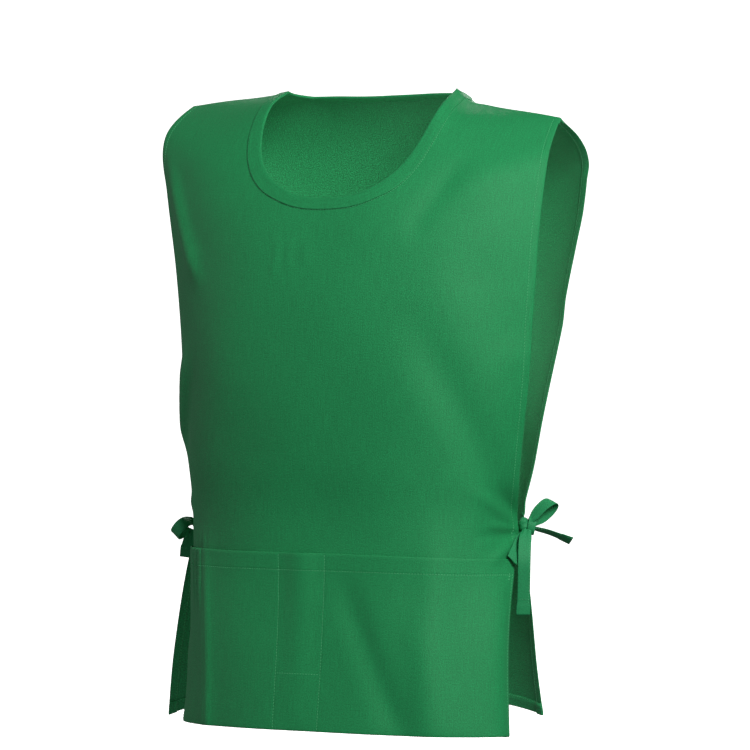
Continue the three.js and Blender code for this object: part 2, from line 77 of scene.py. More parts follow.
@dataclass(frozen=True)
class Sizes:
    """Sizes of the apron in millimetres."""

    length: float = 711.0
    width: float = 456.0
    chest_depth: float = 140.0
    back_depth: float = 120.0
    shoulder_drop: float = 50.0
    neck_width: float = 194.0
    front_neck_depth: float = 184.0
    front_neck_squareness: float = 2.6
    back_neck_depth: float = 58.0
    back_neck_squareness: float = 2.3
    side_hem: float = 9.5
    bottom_hem: float = 12.7
    seam_allowance: float = 9.0
    pocket_height: float = 175.5
    pocket_hem: float = 19.0
    pocket_gape: float = 4.5
    pen_pocket_width: float = 51.0
    pen_pocket_depth: float = 121.5
    tie_drop: float = 503.0
    tie_width: float = 13.0
    tie_thickness: float = 1.1
    knot_width: float = 11.5
    knot_height: float = 16.0
    loop_length: float = 30.0
    long_tail: float = 90.0
    short_tail: float = 46.0
    bow_turn: float = 25.0
    cloth: float = 0.55
    layer: float = 1.2

    @property
    def half(self) -> float:
        """Half the flat width."""
        return self.width / 2

    @property
    def neck_half(self) -> float:
        """Half the neck opening."""
        return self.neck_width / 2

    @property
    def pocket_top(self) -> float:
        """Distance down to the pocket's top edge."""
        return self.length - self.pocket_height


SIZE = Sizes()
TURN_GROWTH = 1.7
TURN_STEPS = (np.arange(12) + 0.5) / 12
INNER_SEAM = 0.8 * SIZE.neck_half
PULL_REACH = 2.6 * SIZE.tie_width
LEVEL_ROWS_FROM = 0.45 * SIZE.length
RIBBON_CORNERS = 36
TAIL_HEM = 12.0
TAIL_POINTS = 70

# down | shift | depth | left turn, reach | right turn, reach | middle, left, right fall
FRONT_DRAPE = np.array([
    [0.000, 0.018, 0.064, 32.3, 0.946, 28.2, 0.956, 0.004, 0.021, 0.008],
    [0.070, 0.018, 0.386, 41.3, 0.973, 38.5, 1.002, 0.034, 0.049, 0.014],
    [0.141, 0.018, 0.614, 39.1, 0.969, 35.6, 1.059, 0.086, 0.101, 0.058],
    [0.231, 0.018, 0.836, 43.2, 0.983, 48.5, 1.062, 0.158, 0.181, 0.143],
    [0.352, 0.018, 0.971, 50.0, 0.991, 60.8, 1.043, 0.271, 0.302, 0.262],
    [0.492, 0.018, 1.000, 59.4, 0.977, 65.6, 1.025, 0.412, 0.442, 0.401],
    [0.619, 0.018, 0.943, 70.0, 0.945, 68.3, 1.050, 0.537, 0.564, 0.530],
    [0.703, 0.020, 0.886, 72.0, 0.922, 68.0, 1.055, 0.620, 0.637, 0.615],
    [0.759, 0.022, 0.879, 72.0, 0.904, 64.8, 1.037, 0.675, 0.684, 0.677],
    [0.900, 0.018, 0.929, 57.7, 0.887, 60.2, 0.991, 0.816, 0.819, 0.821],
    [1.000, 0.009, 0.971, 55.3, 0.908, 61.4, 0.986, 0.920, 0.924, 0.928],
])
BACK_DRAPE = np.array([
    [0.000, 0.000, 0.033, 24.6, 0.950, 24.6, 0.950, -0.011, 0.021, 0.008],
    [0.070, 0.000, 0.417, 34.0, 0.963, 35.1, 0.975, 0.006, 0.046, 0.014],
    [0.141, 0.000, 0.700, 26.4, 0.993, 34.2, 0.978, 0.056, 0.093, 0.062],
    [0.231, 0.000, 0.900, 32.8, 0.974, 40.3, 0.979, 0.135, 0.174, 0.143],
    [0.352, 0.000, 0.983, 45.3, 0.942, 48.1, 0.951, 0.250, 0.290, 0.262],
    [0.492, 0.000, 0.900, 50.0, 0.876, 48.1, 0.922, 0.387, 0.422, 0.401],
    [0.619, 0.000, 0.767, 58.0, 0.862, 54.2, 0.962, 0.512, 0.543, 0.530],
    [0.703, -0.013, 0.683, 58.3, 0.855, 57.9, 0.986, 0.596, 0.619, 0.615],
    [0.788, -0.035, 0.667, 54.0, 0.866, 58.4, 1.036, 0.681, 0.703, 0.706],
    [0.900, -0.070, 0.667, 38.2, 0.863, 63.9, 1.073, 0.793, 0.813, 0.827],
    [1.000, -0.096, 0.683, 28.0, 0.888, 70.9, 1.094, 0.892, 0.911, 0.928],
])
# along | back | left out, fall | right out, fall
SHOULDER_SEAM = np.array([
    [-0.30, 0.08, -0.167, -0.16, -0.155, -0.14],
    [0.00, 0.00, 0.000, 0.01, 0.000, -0.06],
    [0.12, 0.00, 0.105, 0.24, 0.112, -0.02],
    [0.30, 0.02, 0.307, 0.36, 0.302, 0.03],
    [0.60, 0.04, 0.632, 0.50, 0.621, 0.09],
    [1.00, 0.06, 1.000, 0.68, 1.000, 0.17],
])
LEFT_TIP, RIGHT_TIP = 0.925, 0.934
SEAM_FADE = 0.155
# from across, down | to across, down | spread | rise: millimetres, + stands out
FRONT_FOLDS = np.array([
    [86.6, 263.1, 218.9, 490.6, 23.8, -5.0],
    [118.6, 163.5, 228.0, 106.7, 23.8, 3.1],
    [-232.6, 99.5, -159.6, 248.9, 15.4, 4.2],
    [-177.8, 305.7, -223.4, 426.6, 15.4, 4.2],
    [127.7, 469.3, 127.7, 725.2, 19.6, 3.9],
    [-152.0, 490.6, -144.0, 725.2, 14.0, 3.2],
])
FRONT_CREASES = np.array([
    [160, 455, 229, 497, 8.0, 2.2],
    [165, 512, 229, 506, 6.0, -1.5],
    [186, 545, 229, 510, 6.0, 2.8],
    [198, 448, 229, 494, 7.0, -1.2],
    [180, 497, 229, 502, 4.5, 2.0],
    [-172, 486, -229, 501, 8.0, 2.0],
    [-188, 540, -229, 508, 7.0, -2.0],
    [-186, 322, -213, 420, 8.0, 2.4],
    [-170, 330, -198, 428, 12.0, -2.2],
    [-214, 120, -160, 245, 9.0, 2.6],
    [-232, 470, -232, 690, 28.0, -6.0],
    [-232, 520, -232, 625, 32.0, -5.0],
    [-236, 490, -236, 528, 22.0, -5.0],
    [238, 520, 238, 770, 19.0, -12.0],
    [-148, 480, -138, 740, 3.6, 0.9],
    [-156, 610, -156, 526, 1.9, 2.0],
    [-165, 605, -164, 526, 1.9, 2.2],
    [-175, 600, -173, 526, 2.1, 2.0],
    [8, 540, 92, 700, 17.0, -3.6],
    [96, 560, 150, 720, 22.0, 2.4],
    [150, 200, 205, 300, 30.0, -2.6],
    [150, 100, 100, 200, 12.0, -2.0],
    [-46, 205, -50, 250, 4.0, 0.8],
    [-32, 206, -34, 246, 4.0, 0.7],
    [-16, 207, -16, 240, 4.5, 0.5],
])
BACK_FOLDS = np.array([
    [-102.6, 298.6, -209.8, 490.6, 21.6, 3.6],
    [91.2, 320.0, 205.2, 490.6, 21.6, 3.6],
    [68.4, 511.9, 77.5, 725.2, 19.2, 4.1],
    [-82.1, 526.1, -95.8, 725.2, 19.2, 3.6],
])
BACK_CREASES = np.array([
    [170, 470, 229, 499, 8.0, 2.0],
    [178, 530, 229, 508, 7.0, -2.0],
    [-172, 472, -229, 499, 8.0, 2.0],
    [-180, 532, -229, 508, 7.0, -2.0],
    [10, 560, 24, 720, 22.0, -2.4],
    [232, 50, 236, 120, 18.0, 3.6],
    [232, 150, 236, 270, 20.0, -3.0],
])


def follow(keys: Array, values: Array, at: Array) -> Array:
    """Smooth curve through table values, straight beyond the ends.

    Cubic Hermite pieces; the slope at a row is the mean of its neighbours'
    slopes, each weighted by the other's span.

    Args:
        keys: rising positions of the rows.
        values: value in each row.
        at: where to read the curve.

    Returns:
        The curve's values, shaped as `at`.
    """
    span = np.diff(keys)
    slope = np.diff(values) / span
    tangent = np.empty_like(values)
    tangent[0], tangent[-1] = slope[0], slope[-1]
    tangent[1:-1] = (slope[:-1] * span[1:] + slope[1:] * span[:-1]) / (span[:-1] + span[1:])
    i = np.clip(np.searchsorted(keys, at) - 1, 0, len(span) - 1)
    t = (at - keys[i]) / span[i]
    inside = ((2 * t**3 - 3 * t**2 + 1) * values[i] + (t**3 - 2 * t**2 + t) * span[i] * tangent[i]
              + (3 * t**2 - 2 * t**3) * values[i + 1] + (t**3 - t**2) * span[i] * tangent[i + 1])
    low = values[0] + (at - keys[0]) * tangent[0]
    high = values[-1] + (at - keys[-1]) * tangent[-1]
    return np.where(at < keys[0], low, np.where(at > keys[-1], high, inside))


def smooth_path(keys: Array, stops: Array, count: int) -> Array:
    """This many points of a smooth path through the stops."""
    t = np.linspace(0, 1, count)
    return np.stack([follow(keys, stops[:, k], t) for k in range(3)], -1)


def fade(x: Array) -> Array:
    """1 at zero, falling smoothly to 0 at one: (1-x)^2 (1+2x)."""
    t = np.clip(x, 0, 1)
    return (1 - t) ** 2 * (1 + 2 * t)


def unit(v: Array) -> Array:
    """Vectors scaled to length one."""
    return v / np.maximum(np.linalg.norm(v, axis=-1, keepdims=True), 1e-12)


def seam_down(across: Array) -> Array:
    """How far down the flat cloth the sloping shoulder seam lies, levelling off inside the neck."""
    share = (np.abs(across) - SIZE.neck_half) / (SIZE.half - SIZE.neck_half)
    past = share + 0.3
    return SIZE.shoulder_drop * (0.5 * (past + np.sqrt(past**2 + 0.006)) - 0.3)


def seam_point(across: Array) -> Array:
    """Point of the shoulder seam in space, in millimetres."""
    left = across >= 0
    along = (np.abs(across) - SIZE.neck_half) / (SIZE.half - SIZE.neck_half)
    read = lambda column: follow(SHOULDER_SEAM[:, 0], SHOULDER_SEAM[:, column], along)
    out = np.where(left, read(2), read(4))
    tip = SIZE.half * np.where(left, LEFT_TIP, RIGHT_TIP)
    x = SIZE.neck_half + out * (tip - SIZE.neck_half)
    fall = np.where(left, read(3), read(5))
    return np.stack([np.where(left, x, -x), SIZE.shoulder_drop * read(1), -SIZE.shoulder_drop * fall], -1)


@dataclass(frozen=True)
class Cloth:
    """One panel's cloth and the way it hangs.

    Attributes:
        face: the way it faces.
        depth: how far its fullest part stands from the origin.
        drape: table of level cuts.
        folds: rows of ridges and troughs.
        pulls: (inward, across) move of each side edge at the tie, in tie widths.
    """

    face: Face
    depth: float
    drape: Array
    folds: Array
    pulls: dict[Side, tuple[float, float]]

    def hang(self, across: Array, down: Array) -> Array:
        """Cloth point from the drape table alone.

        A level cut keeps the cloth's length and only turns: the angle at a
        share s of the half width is turn * s^1.7, and the point is the sum of
        small steps along that angle.
        """
        level = down / SIZE.length
        read = lambda column: follow(self.drape[:, 0], self.drape[:, column], level)
        left = across >= 0
        share = np.abs(across) / SIZE.half
        turn = np.radians(np.where(left, read(3), read(5)))
        reach = SIZE.half * np.where(left, read(4), read(6))
        angle = turn[..., None] * (share[..., None] * TURN_STEPS) ** TURN_GROWTH
        outward = np.cos(angle).mean(-1) * share
        inward = np.sin(angle).mean(-1) * share
        middle = read(7)
        edge = np.where(left, read(8), read(9))
        return np.stack([
            SIZE.half * read(1) + np.where(left, 1, -1) * reach * outward,
            self.face.value * (self.depth * read(2) - reach * inward),
            -SIZE.length * (middle + (edge - middle) * share**2),
        ], -1)

    def drawn(self, across: Array, down: Array) -> Array:
        """Cloth point drawn up to the shoulder seam and in by the ties."""
        nearest = np.where(across >= 0, 1, -1) * np.maximum(np.abs(across), INNER_SEAM)
        seam = seam_down(nearest)
        strength = (fade((down - seam) / (SEAM_FADE * SIZE.length))
                    * np.minimum(np.abs(across) / INNER_SEAM, 1) ** 2)
        point = self.hang(across, down)
        point = point + strength[..., None] * (seam_point(nearest) - self.hang(nearest, seam))
        left = across >= 0
        inward = np.where(left, self.pulls[Side.LEFT][0], self.pulls[Side.RIGHT][0])
        along = np.where(left, self.pulls[Side.LEFT][1], self.pulls[Side.RIGHT][1])
        away = np.hypot(SIZE.half - np.abs(across), 0.8 * (down - SIZE.tie_drop)) / PULL_REACH
        pull = SIZE.tie_width * np.exp(-(away**2))
        point[..., 0] -= np.sign(across) * inward * pull
        point[..., 1] += along * pull
        return point

    def outward(self, surface: Callable[[Array, Array], Array], across: Array, down: Array) -> Array:
        """Outward direction of a surface, from small steps across and down it."""
        h = 1.2
        step_across = surface(across + h, down) - surface(across - h, down)
        step_down = surface(across, down + h) - surface(across, down - h)
        return unit(-self.face.value * np.cross(step_down, step_across))

    def fold_height(self, across: Array, down: Array) -> Array:
        """Sum of the folds: each a bell across its line that eases in and out along it."""
        height = np.zeros(np.broadcast(across, down).shape)
        for a0, d0, a1, d1, spread, rise in self.folds:
            length = math.hypot(a1 - a0, d1 - d0)
            ua, ud = (a1 - a0) / length, (d1 - d0) / length
            along = ((across - a0) * ua + (down - d0) * ud) / length
            beside = ((across - a0) * ud - (down - d0) * ua) / spread
            eased = (1 - fade(along / 0.45)) * fade((along - 0.9) / 0.3)
            height = height + rise * np.exp(-(beside**2)) * eased
        # Slow unevenness of hung cloth: three crossed waves of 100 to 130 mm.
        slow = (np.sin(across / 17.0 + down / 41.0) + np.sin(across / 29.0 - down / 23.0 + 1.3)
                + np.sin(across / 21.0 + down / 90.0 + 4.0))
        return height + 0.3 * slow

    def surface(self, across: Array, down: Array) -> Array:
        """Finished point of the cloth's outer face, in millimetres."""
        lift = self.fold_height(across, down)
        return self.drawn(across, down) + lift[..., None] * self.outward(self.drawn, across, down)

    def at(self, across: Array, down: Array, height: Array) -> Array:
        """Point at a height over the outer face, in metres.

        The height is measured square to the cloth, and straight up where the
        two panels meet at the shoulder seam, so that both share one edge.
        """
        across, down, height = np.broadcast_arrays(
            *(np.asarray(v, float) for v in (across, down, height)))
        square = self.outward(self.surface, across, down)
        share = fade((down - seam_down(across)) / (0.5 * SIZE.shoulder_drop))[..., None]
        way = unit(square * (1 - share) + np.array([0.0, 0.0, 1.0]) * share)
        return MM * (self.surface(across, down) + height[..., None] * way)


FRONT = Cloth(Face.FRONT, SIZE.chest_depth, FRONT_DRAPE, np.vstack([FRONT_FOLDS, FRONT_CREASES]),
              {Side.LEFT: (0.6, 1.75), Side.RIGHT: (0.15, 0.5)})
BACK = Cloth(Face.BACK, SIZE.back_depth, BACK_DRAPE, np.vstack([BACK_FOLDS, BACK_CREASES]),
             {Side.LEFT: (0.1, -1.0), Side.RIGHT: (0.1, -0.4)})


# Materials


def linear(hexa: str) -> tuple[float, float, float, float]:
    """sRGB hex colour as linear RGBA."""
    parts = [int(hexa[i:i + 2], 16) / 255 for i in (1, 3, 5)]
    r, g, b = (c / 12.92 if c <= 0.04045 else ((c + 0.055) / 1.055) ** 2.4 for c in parts)
    return (r, g, b, 1.0)


class Graph:
    """A new material and its node tree, emptied and ready to fill."""

    def __init__(self, name: str) -> None:
        """Make the material."""
        self.material = bpy.data.materials.new(name)
        self.material.use_nodes = True
        self.tree = self.material.node_tree
        self.tree.nodes.clear()

    def add(self, kind: str, settings: dict | None = None, links: dict | None = None) -> bpy.types.Node:
        """Add a node.

        Args:
            kind: the shader node's type, without "ShaderNode".
            settings: node attributes, or input values where the key is a socket.
            links: input socket to the output socket that feeds it.

        Returns:
            The new node.
        """
        node = self.tree.nodes.new("ShaderNode" + kind)
        for key, value in (settings or {}).items():
            if isinstance(key, str) and hasattr(node, key):
                setattr(node, key, value)
            else:
                node.inputs[key].default_value = value
        for key, source in (links or {}).items():
            self.tree.links.new(source, node.inputs[key])
        return node

    def times(self, first: Socket, second: Socket) -> Socket:
        """One value times another."""
        return self.add("Math", {"operation": "MULTIPLY"}, {0: first, 1: second}).outputs[0]

    def grains(self, uv: Socket, wide: float, long: float, detail: float) -> Socket:
        """Noise whose grains are this wide and this long, in millimetres of flat cloth."""
        scale = (1 / (wide * MM), 1 / (long * MM), 1.0)
        place = self.add("Mapping", {"Scale": scale}, {"Vector": uv})
        noise = self.add("TexNoise", {"Scale": 1.0, "Detail": detail, "Roughness": 0.6},
                         {"Vector": place.outputs[0]})
        return noise.outputs["Fac"]

    def around_one(self, value: Socket, share: float) -> Socket:
        """Noise turned into a factor that varies by this share either way of one."""
        span = {"From Min": 0.25, "From Max": 0.75, "To Min": 1 - share, "To Max": 1 + share}
        return self.add("MapRange", span, {"Value": value}).outputs[0]

    def tinted(self, colour: str, shade: Socket) -> Socket:
        """A colour multiplied by a shade."""
        mix = self.add("Mix", {"data_type": "RGBA", "blend_type": "MULTIPLY"})
        mix.inputs["Factor"].default_value = 1.0
        mix.inputs[6].default_value = linear(colour)
        self.tree.links.new(shade, mix.inputs[7])
        return mix.outputs[2]

    def shaded(self, settings: dict, links: dict | None = None) -> Material:
        """Finish with a principled shader and give back the material."""
        shader = self.add("BsdfPrincipled", settings, links)
        self.add("OutputMaterial", None, {"Surface": shader.outputs[0]})
        return self.material


@dataclass(frozen=True)
class Poplin:
    """Plain-woven cotton and polyester poplin: matt, a fine even weave, faint slubs.

    Attributes:
        name: material name.
        colour: lit colour of the dyed cloth.
        weave_mm: spacing at which the weave is drawn; real poplin is about
            0.3 mm, which is too fine to show, so it is drawn coarser.
        slub_mm: thickness at which uneven yarns are drawn.
        mottle: share by which uneven yarns change the colour.
        grain: share by which single threads and fuzz change the colour.
        sheen: how much the fibre ends catch grazing light.
        roughness: how widely the surface scatters its shine.
    """

    name: str
    colour: str
    weave_mm: float = 1.3
    slub_mm: float = 0.9
    mottle: float = 0.13
    grain: float = 0.4
    sheen: float = 0.07
    roughness: float = 0.62

    def build(self) -> Material:
        """Make the material from the piece's own UV map, laid out in metres of flat cloth."""
        graph = Graph(self.name)
        uv = graph.add("TexCoord").outputs["UV"]
        # Plain weave: warp over weft in every second place, as sin(x) * sin(y).
        turns = 2 * math.pi / (self.weave_mm * MM)
        places = graph.add("VectorMath", {"operation": "MULTIPLY", 1: (turns, turns, 0.0)}, {0: uv})
        split = graph.add("SeparateXYZ", None, {0: places.outputs[0]})
        warp, weft = (graph.add("Math", {"operation": "SINE"}, {0: split.outputs[k]}).outputs[0]
                      for k in (0, 1))
        long_yarns = graph.grains(uv, self.slub_mm, 26 * self.slub_mm, 2.0)
        cross_yarns = graph.grains(uv, 20 * self.slub_mm, self.slub_mm, 2.0)
        fuzz = graph.grains(uv, 1.2 * self.slub_mm, 1.5 * self.slub_mm, 3.0)
        yarns = graph.times(graph.around_one(long_yarns, self.mottle),
                            graph.around_one(cross_yarns, 0.4 * self.mottle))
        shade = graph.times(yarns, graph.around_one(fuzz, self.grain))
        relief = graph.add("Math", {"operation": "MULTIPLY_ADD", 1: 0.35},
                           {0: graph.times(warp, weft), 2: shade})
        bump = graph.add("Bump", {"Strength": 0.6, "Distance": 0.3 * MM}, {"Height": relief.outputs[0]})
        return graph.shaded({"Roughness": self.roughness, "Specular IOR Level": 0.32,
                             "Sheen Weight": self.sheen, "Sheen Roughness": 0.4,
                             "Sheen Tint": linear("#b4d2b8")},
                            {"Base Color": graph.tinted(self.colour, shade),
                             "Normal": bump.outputs["Normal"]})


@dataclass(frozen=True)
class SewingThread:
    """Spun polyester sewing thread: a lighter green, slightly glossy twist."""

    name: str
    colour: str

    def build(self) -> Material:
        """Make the material; the ply shows as a faint noise along the thread."""
        graph = Graph(self.name)
        place = graph.add("TexCoord").outputs["Object"]
        ply = graph.add("TexNoise", {"Scale": 1 / (0.5 * MM), "Detail": 1.0}, {"Vector": place})
        shade = graph.add("MapRange", {"To Min": 0.8, "To Max": 1.15}, {"Value": ply.outputs["Fac"]})
        return graph.shaded({"Roughness": 0.6, "Specular IOR Level": 0.2},
                            {"Base Color": graph.tinted(self.colour, shade.outputs[0])})


@dataclass(frozen=True)
class SeamlessPaper:
    """Matt pale studio paper, lit a little of itself."""

    name: str
    colour: str
    glow: float

    def build(self) -> Material:
        """Make the material."""
        colour = linear(self.colour)
        return Graph(self.name).shaded({"Base Color": colour, "Roughness": 1.0,
                                        "Emission Color": colour, "Emission Strength": self.glow})


# Meshes


def grid_faces(rows: int, columns: int) -> Array:
    """Quads of a grid whose rows run down and whose columns run across."""
    r, c = np.meshgrid(np.arange(rows - 1), np.arange(columns - 1), indexing="ij")
    a = (r * columns + c).ravel()
    return np.stack([a, a + columns, a + columns + 1, a + 1], -1)


def tube_triangles(rows: int, around: int) -> Array:
    """Triangles of a tube: a grid whose last column joins its first."""
    corner = np.arange(rows * (around + 1))
    ring = corner // (around + 1) * around + corner % (around + 1) % around
    quads = ring[grid_faces(rows, around + 1)]
    return np.concatenate([quads[:, [0, 1, 2]], quads[:, [0, 2, 3]]])


def make_object(name: str, points: Array, faces: Array, material: Material,
                uv: Array | None = None) -> Piece:
    """Put whole arrays into a new smooth-shaded mesh object.

    Args:
        name: object name.
        points: (n, 3) corners in metres.
        faces: (m, 3 or 4) corner numbers.
        material: the piece's finish.
        uv: (n, 2) flat-cloth place of each corner, in metres.

    Returns:
        The object, linked to the scene.
    """
    mesh = bpy.data.meshes.new(name)
    sides = faces.shape[1]
    mesh.vertices.add(len(points))
    mesh.vertices.foreach_set("co", np.ascontiguousarray(points, np.float32).ravel())
    mesh.loops.add(faces.size)
    mesh.loops.foreach_set("vertex_index", faces.astype(np.int32).ravel())
    mesh.polygons.add(len(faces))
    mesh.polygons.foreach_set("loop_start", np.arange(0, faces.size, sides, dtype=np.int32))
    mesh.update(calc_edges=True)
    mesh.validate()
    mesh.polygons.foreach_set("use_smooth", np.ones(len(mesh.polygons), bool))
    if uv is not None:
        layer = mesh.uv_layers.new(name="cloth")
        corner = np.empty(len(mesh.loops), np.int32)
        mesh.loops.foreach_get("vertex_index", corner)
        layer.data.foreach_set("uv", np.ascontiguousarray(uv[corner], np.float32).ravel())
    mesh.materials.append(material)
    piece = bpy.data.objects.new(name, mesh)
    bpy.context.scene.collection.objects.link(piece)
    return piece


def thicken(piece: Piece, thickness_mm: float) -> None:
    """Give a sheet its thickness, inward."""
    solidify = piece.modifiers.new("thickness", "SOLIDIFY")
    solidify.thickness = thickness_mm * MM
    solidify.offset = -1.0
    solidify.use_rim = True


def folded_edge(width: float, layer: float) -> tuple[Array, Array]:
    """Section of a turned hem, from its raw edge to the fold and back onto the face.

    Args:
        width: how far the hem is turned in.
        layer: height of the inner layer's face under the outer face.

    Returns:
        Inset from the fold, and height over the outer face.
    """
    inset = [width, 0.62 * width, 0.3 * width, 1.4, 0.5, 0.12, 0.0, 0.12, 0.5, 1.4]
    depth = [1, 1, 1, 1, 0.96, 0.78, 0.5, 0.22, 0.05, 0]
    return np.array(inset), -layer * np.array(depth)


def hem_relief(inset: Array, width: float) -> Array:
    """Height of a hem on the outer face: a faint step up, with a groove along its stitching."""
    step = 0.18 * (1 - fade((width + 0.6 - inset) / 1.4)) * (inset < width + 0.6)
    groove = -0.34 * np.exp(-(((inset - (width - 1.3)) / 0.75) ** 2))
    return step + groove


def run_of(stops: Sequence[float], step: float) -> Array:
    """Rising numbers through all the stops, in steps no longer than step."""
    parts = [np.linspace(a, b, max(1, math.ceil((b - a) / step)) + 1)[:-1] for a, b in zip(stops, stops[1:])]
    return np.concatenate([*parts, [stops[-1]]])


def lengths(across: Array, height: Array) -> Array:
    """Running length along a section."""
    return np.concatenate([[0.0], np.cumsum(np.hypot(np.diff(across), np.diff(height)))])


def flat_uv(across: Array, across_height: Array, rows: Array, row_height: Array) -> Array:
    """Flat-cloth place of each corner of a grid, in metres."""
    flat = np.meshgrid(lengths(across, across_height), -lengths(rows, row_height))
    return MM * np.stack(flat, -1).reshape(-1, 2)


@dataclass
class Neckline:
    """Superellipse cut of a panel's neck: |across/half|^n + (drop/depth)^n = 1."""

    cloth: Cloth
    depth: float
    squareness: float
    half: float = SIZE.neck_half

    def inside(self, across: Array, drop: Array) -> Array:
        """Below 1 inside the opening."""
        n = self.squareness
        return (np.abs(across) / self.half) ** n + (np.maximum(drop, 0) / self.depth) ** n

    def point(self, angle: Array, out: Array) -> tuple[Array, Array]:
        """Flat place at an angle round the neck and a distance out from its edge."""
        n = self.squareness
        c, s = np.cos(angle), np.sin(angle)
        reach = (np.abs(c) ** n + np.abs(s) ** n) ** (-1 / n)
        across = (self.half + out) * c * reach
        return across, seam_down(across) + (self.depth + out) * s * reach


@dataclass
class Stitches:
    """Rows of machine stitches, gathered into one piece.

    Attributes:
        name: piece name.
        pitch: millimetres from stitch to stitch.
        length: visible length of a stitch.
        radius: half the thread's thickness.
    """

    name: str
    pitch: float = 3.0
    length: float = 2.2
    radius: float = 0.24
    rows: list[Array] = field(default_factory=list)

    def add(self, line: Array) -> None:
        """Add a sewn line, given as (n, 3) points in metres along it."""
        run = np.concatenate([[0.0], np.cumsum(np.linalg.norm(np.diff(line, axis=0), axis=1))])
        middles = np.arange(0.5 * self.pitch * MM, run[-1], self.pitch * MM)
        self.rows.append(np.stack([
            np.stack([np.interp(middles + s * self.length * MM / 2, run, line[:, k]) for k in range(3)], -1)
            for s in (-1, 1)], 1))

    def build(self, material: Material) -> Piece:
        """Make the stitches: each a short four-sided bar with pointed ends."""
        ends = np.concatenate(self.rows)
        start, finish = ends[:, 0], ends[:, 1]
        along = unit(finish - start)
        side = unit(np.cross(along, [0.31, 0.52, 0.79]))
        lift = np.cross(along, side)
        span = np.linalg.norm(finish - start, axis=1)[:, None]
        points = [start]
        for share in (0.22, 0.78):
            for s, l in ((1, 0), (0, 1), (-1, 0), (0, -1)):
                points.append(start + along * span * share + (side * s + lift * l) * self.radius * MM)
        points.append(finish)
        template = []
        for k in range(4):
            n = (k + 1) % 4
            template += [[0, 1 + n, 1 + k], [1 + k, 1 + n, 5 + n], [1 + k, 5 + n, 5 + k], [5 + k, 5 + n, 9]]
        count = len(start)
        corners = np.stack(points, 1).reshape(-1, 3)
        faces = (np.array(template)[None] + 10 * np.arange(count)[:, None, None]).reshape(-1, 3)
        return make_object(self.name, corners, faces, material)


@dataclass
class PanelPiece:
    """A panel: one sheet with its neckline cut, its hems turned in and sewn.

    Attributes:
        name: CAD node that the piece stands for.
        cloth: how it hangs.
        neck: its neckline.
        grain: grid step in millimetres.
    """

    name: str
    cloth: Cloth
    neck: Neckline
    grain: float = 3.4

    def section(self) -> tuple[Array, Array]:
        """Places across the cloth, hem to hem, and the height of each."""
        inset, height = folded_edge(SIZE.side_hem, SIZE.layer)
        fine = np.array([3.2, 5.2, 6.6, 7.4, 8.2, 9.0, 9.8, 10.6, 12.5])
        body = run_of([-SIZE.half + 15, SIZE.half - 15], self.grain)
        edge = np.concatenate([inset, fine])
        across = np.concatenate([-SIZE.half + edge, body, SIZE.half - edge[::-1]])
        level = np.concatenate([height, 0 * fine, 0 * body, 0 * fine, height[::-1]])
        flat = SIZE.half - np.abs(across)
        return across, level + np.where(level == 0, hem_relief(flat, SIZE.side_hem), 0)

    def run(self) -> tuple[Array, Array]:
        """Places down the cloth, seam allowance to hem, and the height of each."""
        top, top_height = folded_edge(SIZE.seam_allowance, SIZE.layer)
        foot, foot_height = folded_edge(SIZE.bottom_hem, SIZE.layer)
        fine = np.array([3.5, 6.5, 9.0, 10.4, 11.4, 12.2, 13.0, 14.0, 16.0])
        body = run_of([3.5, SIZE.length - 19], self.grain)
        rows = np.concatenate([top, body, SIZE.length - fine[::-1], SIZE.length - foot[::-1]])
        level = np.concatenate([top_height, 0 * body, 0 * fine, foot_height[::-1]])
        return rows, level + np.where(level == 0, hem_relief(SIZE.length - rows, SIZE.bottom_hem), 0)

    def build(self, material: Material) -> Piece:
        """Make the panel.

        A grid over the flat cloth; corners inside the neckline that a kept
        face needs are moved out along a ray onto the neckline, and every
        corner is then draped.
        """
        across_line, across_height = self.section()
        row_line, row_height = self.run()
        across, row = np.meshgrid(across_line, row_line)
        height = across_height[None, :] + row_height[:, None]
        # Rows start along the shoulder seam and grow level further down.
        drop = row - seam_down(across) * np.minimum(row / LEVEL_ROWS_FROM, 1)
        value = self.neck.inside(across, drop)
        hollow = value < 1
        faces = grid_faces(*across.shape)
        kept = faces[~hollow.ravel()[faces].all(1)]
        scale = np.where(hollow, np.maximum(value, 1e-6) ** (-1 / self.neck.squareness), 1.0)
        used = np.zeros(across.size, bool)
        used[kept.ravel()] = True
        scale = np.where(used.reshape(across.shape), scale, 1.0)
        across, drop = across * scale, drop * scale
        points = self.cloth.at(across, drop + seam_down(across), height).reshape(-1, 3)
        uv = flat_uv(across_line, across_height, row_line, row_height)
        if self.cloth.face is Face.BACK:
            kept = kept[:, ::-1]
        number = np.cumsum(used) - 1
        piece = make_object(self.name + "_cloth", points[used], number[kept], material, uv[used])
        thicken(piece, SIZE.cloth)
        return piece

    def sew(self, stitches: Stitches) -> None:
        """Sew the side and bottom hems, on both faces."""
        inset = SIZE.side_hem - 1.3
        down = np.linspace(SIZE.shoulder_drop + 2, SIZE.length - 2, 500)
        across = np.linspace(-SIZE.half + 2, SIZE.half - 2, 400)
        for height in (0.02, -SIZE.layer - 0.02):
            for side in Side:
                edge = np.full_like(down, side.value * (SIZE.half - inset))
                stitches.add(self.cloth.at(edge, down, np.full_like(down, height)))
            low = np.full_like(across, SIZE.length - SIZE.bottom_hem + 1.3)
            stitches.add(self.cloth.at(across, low, np.full_like(across, height)))


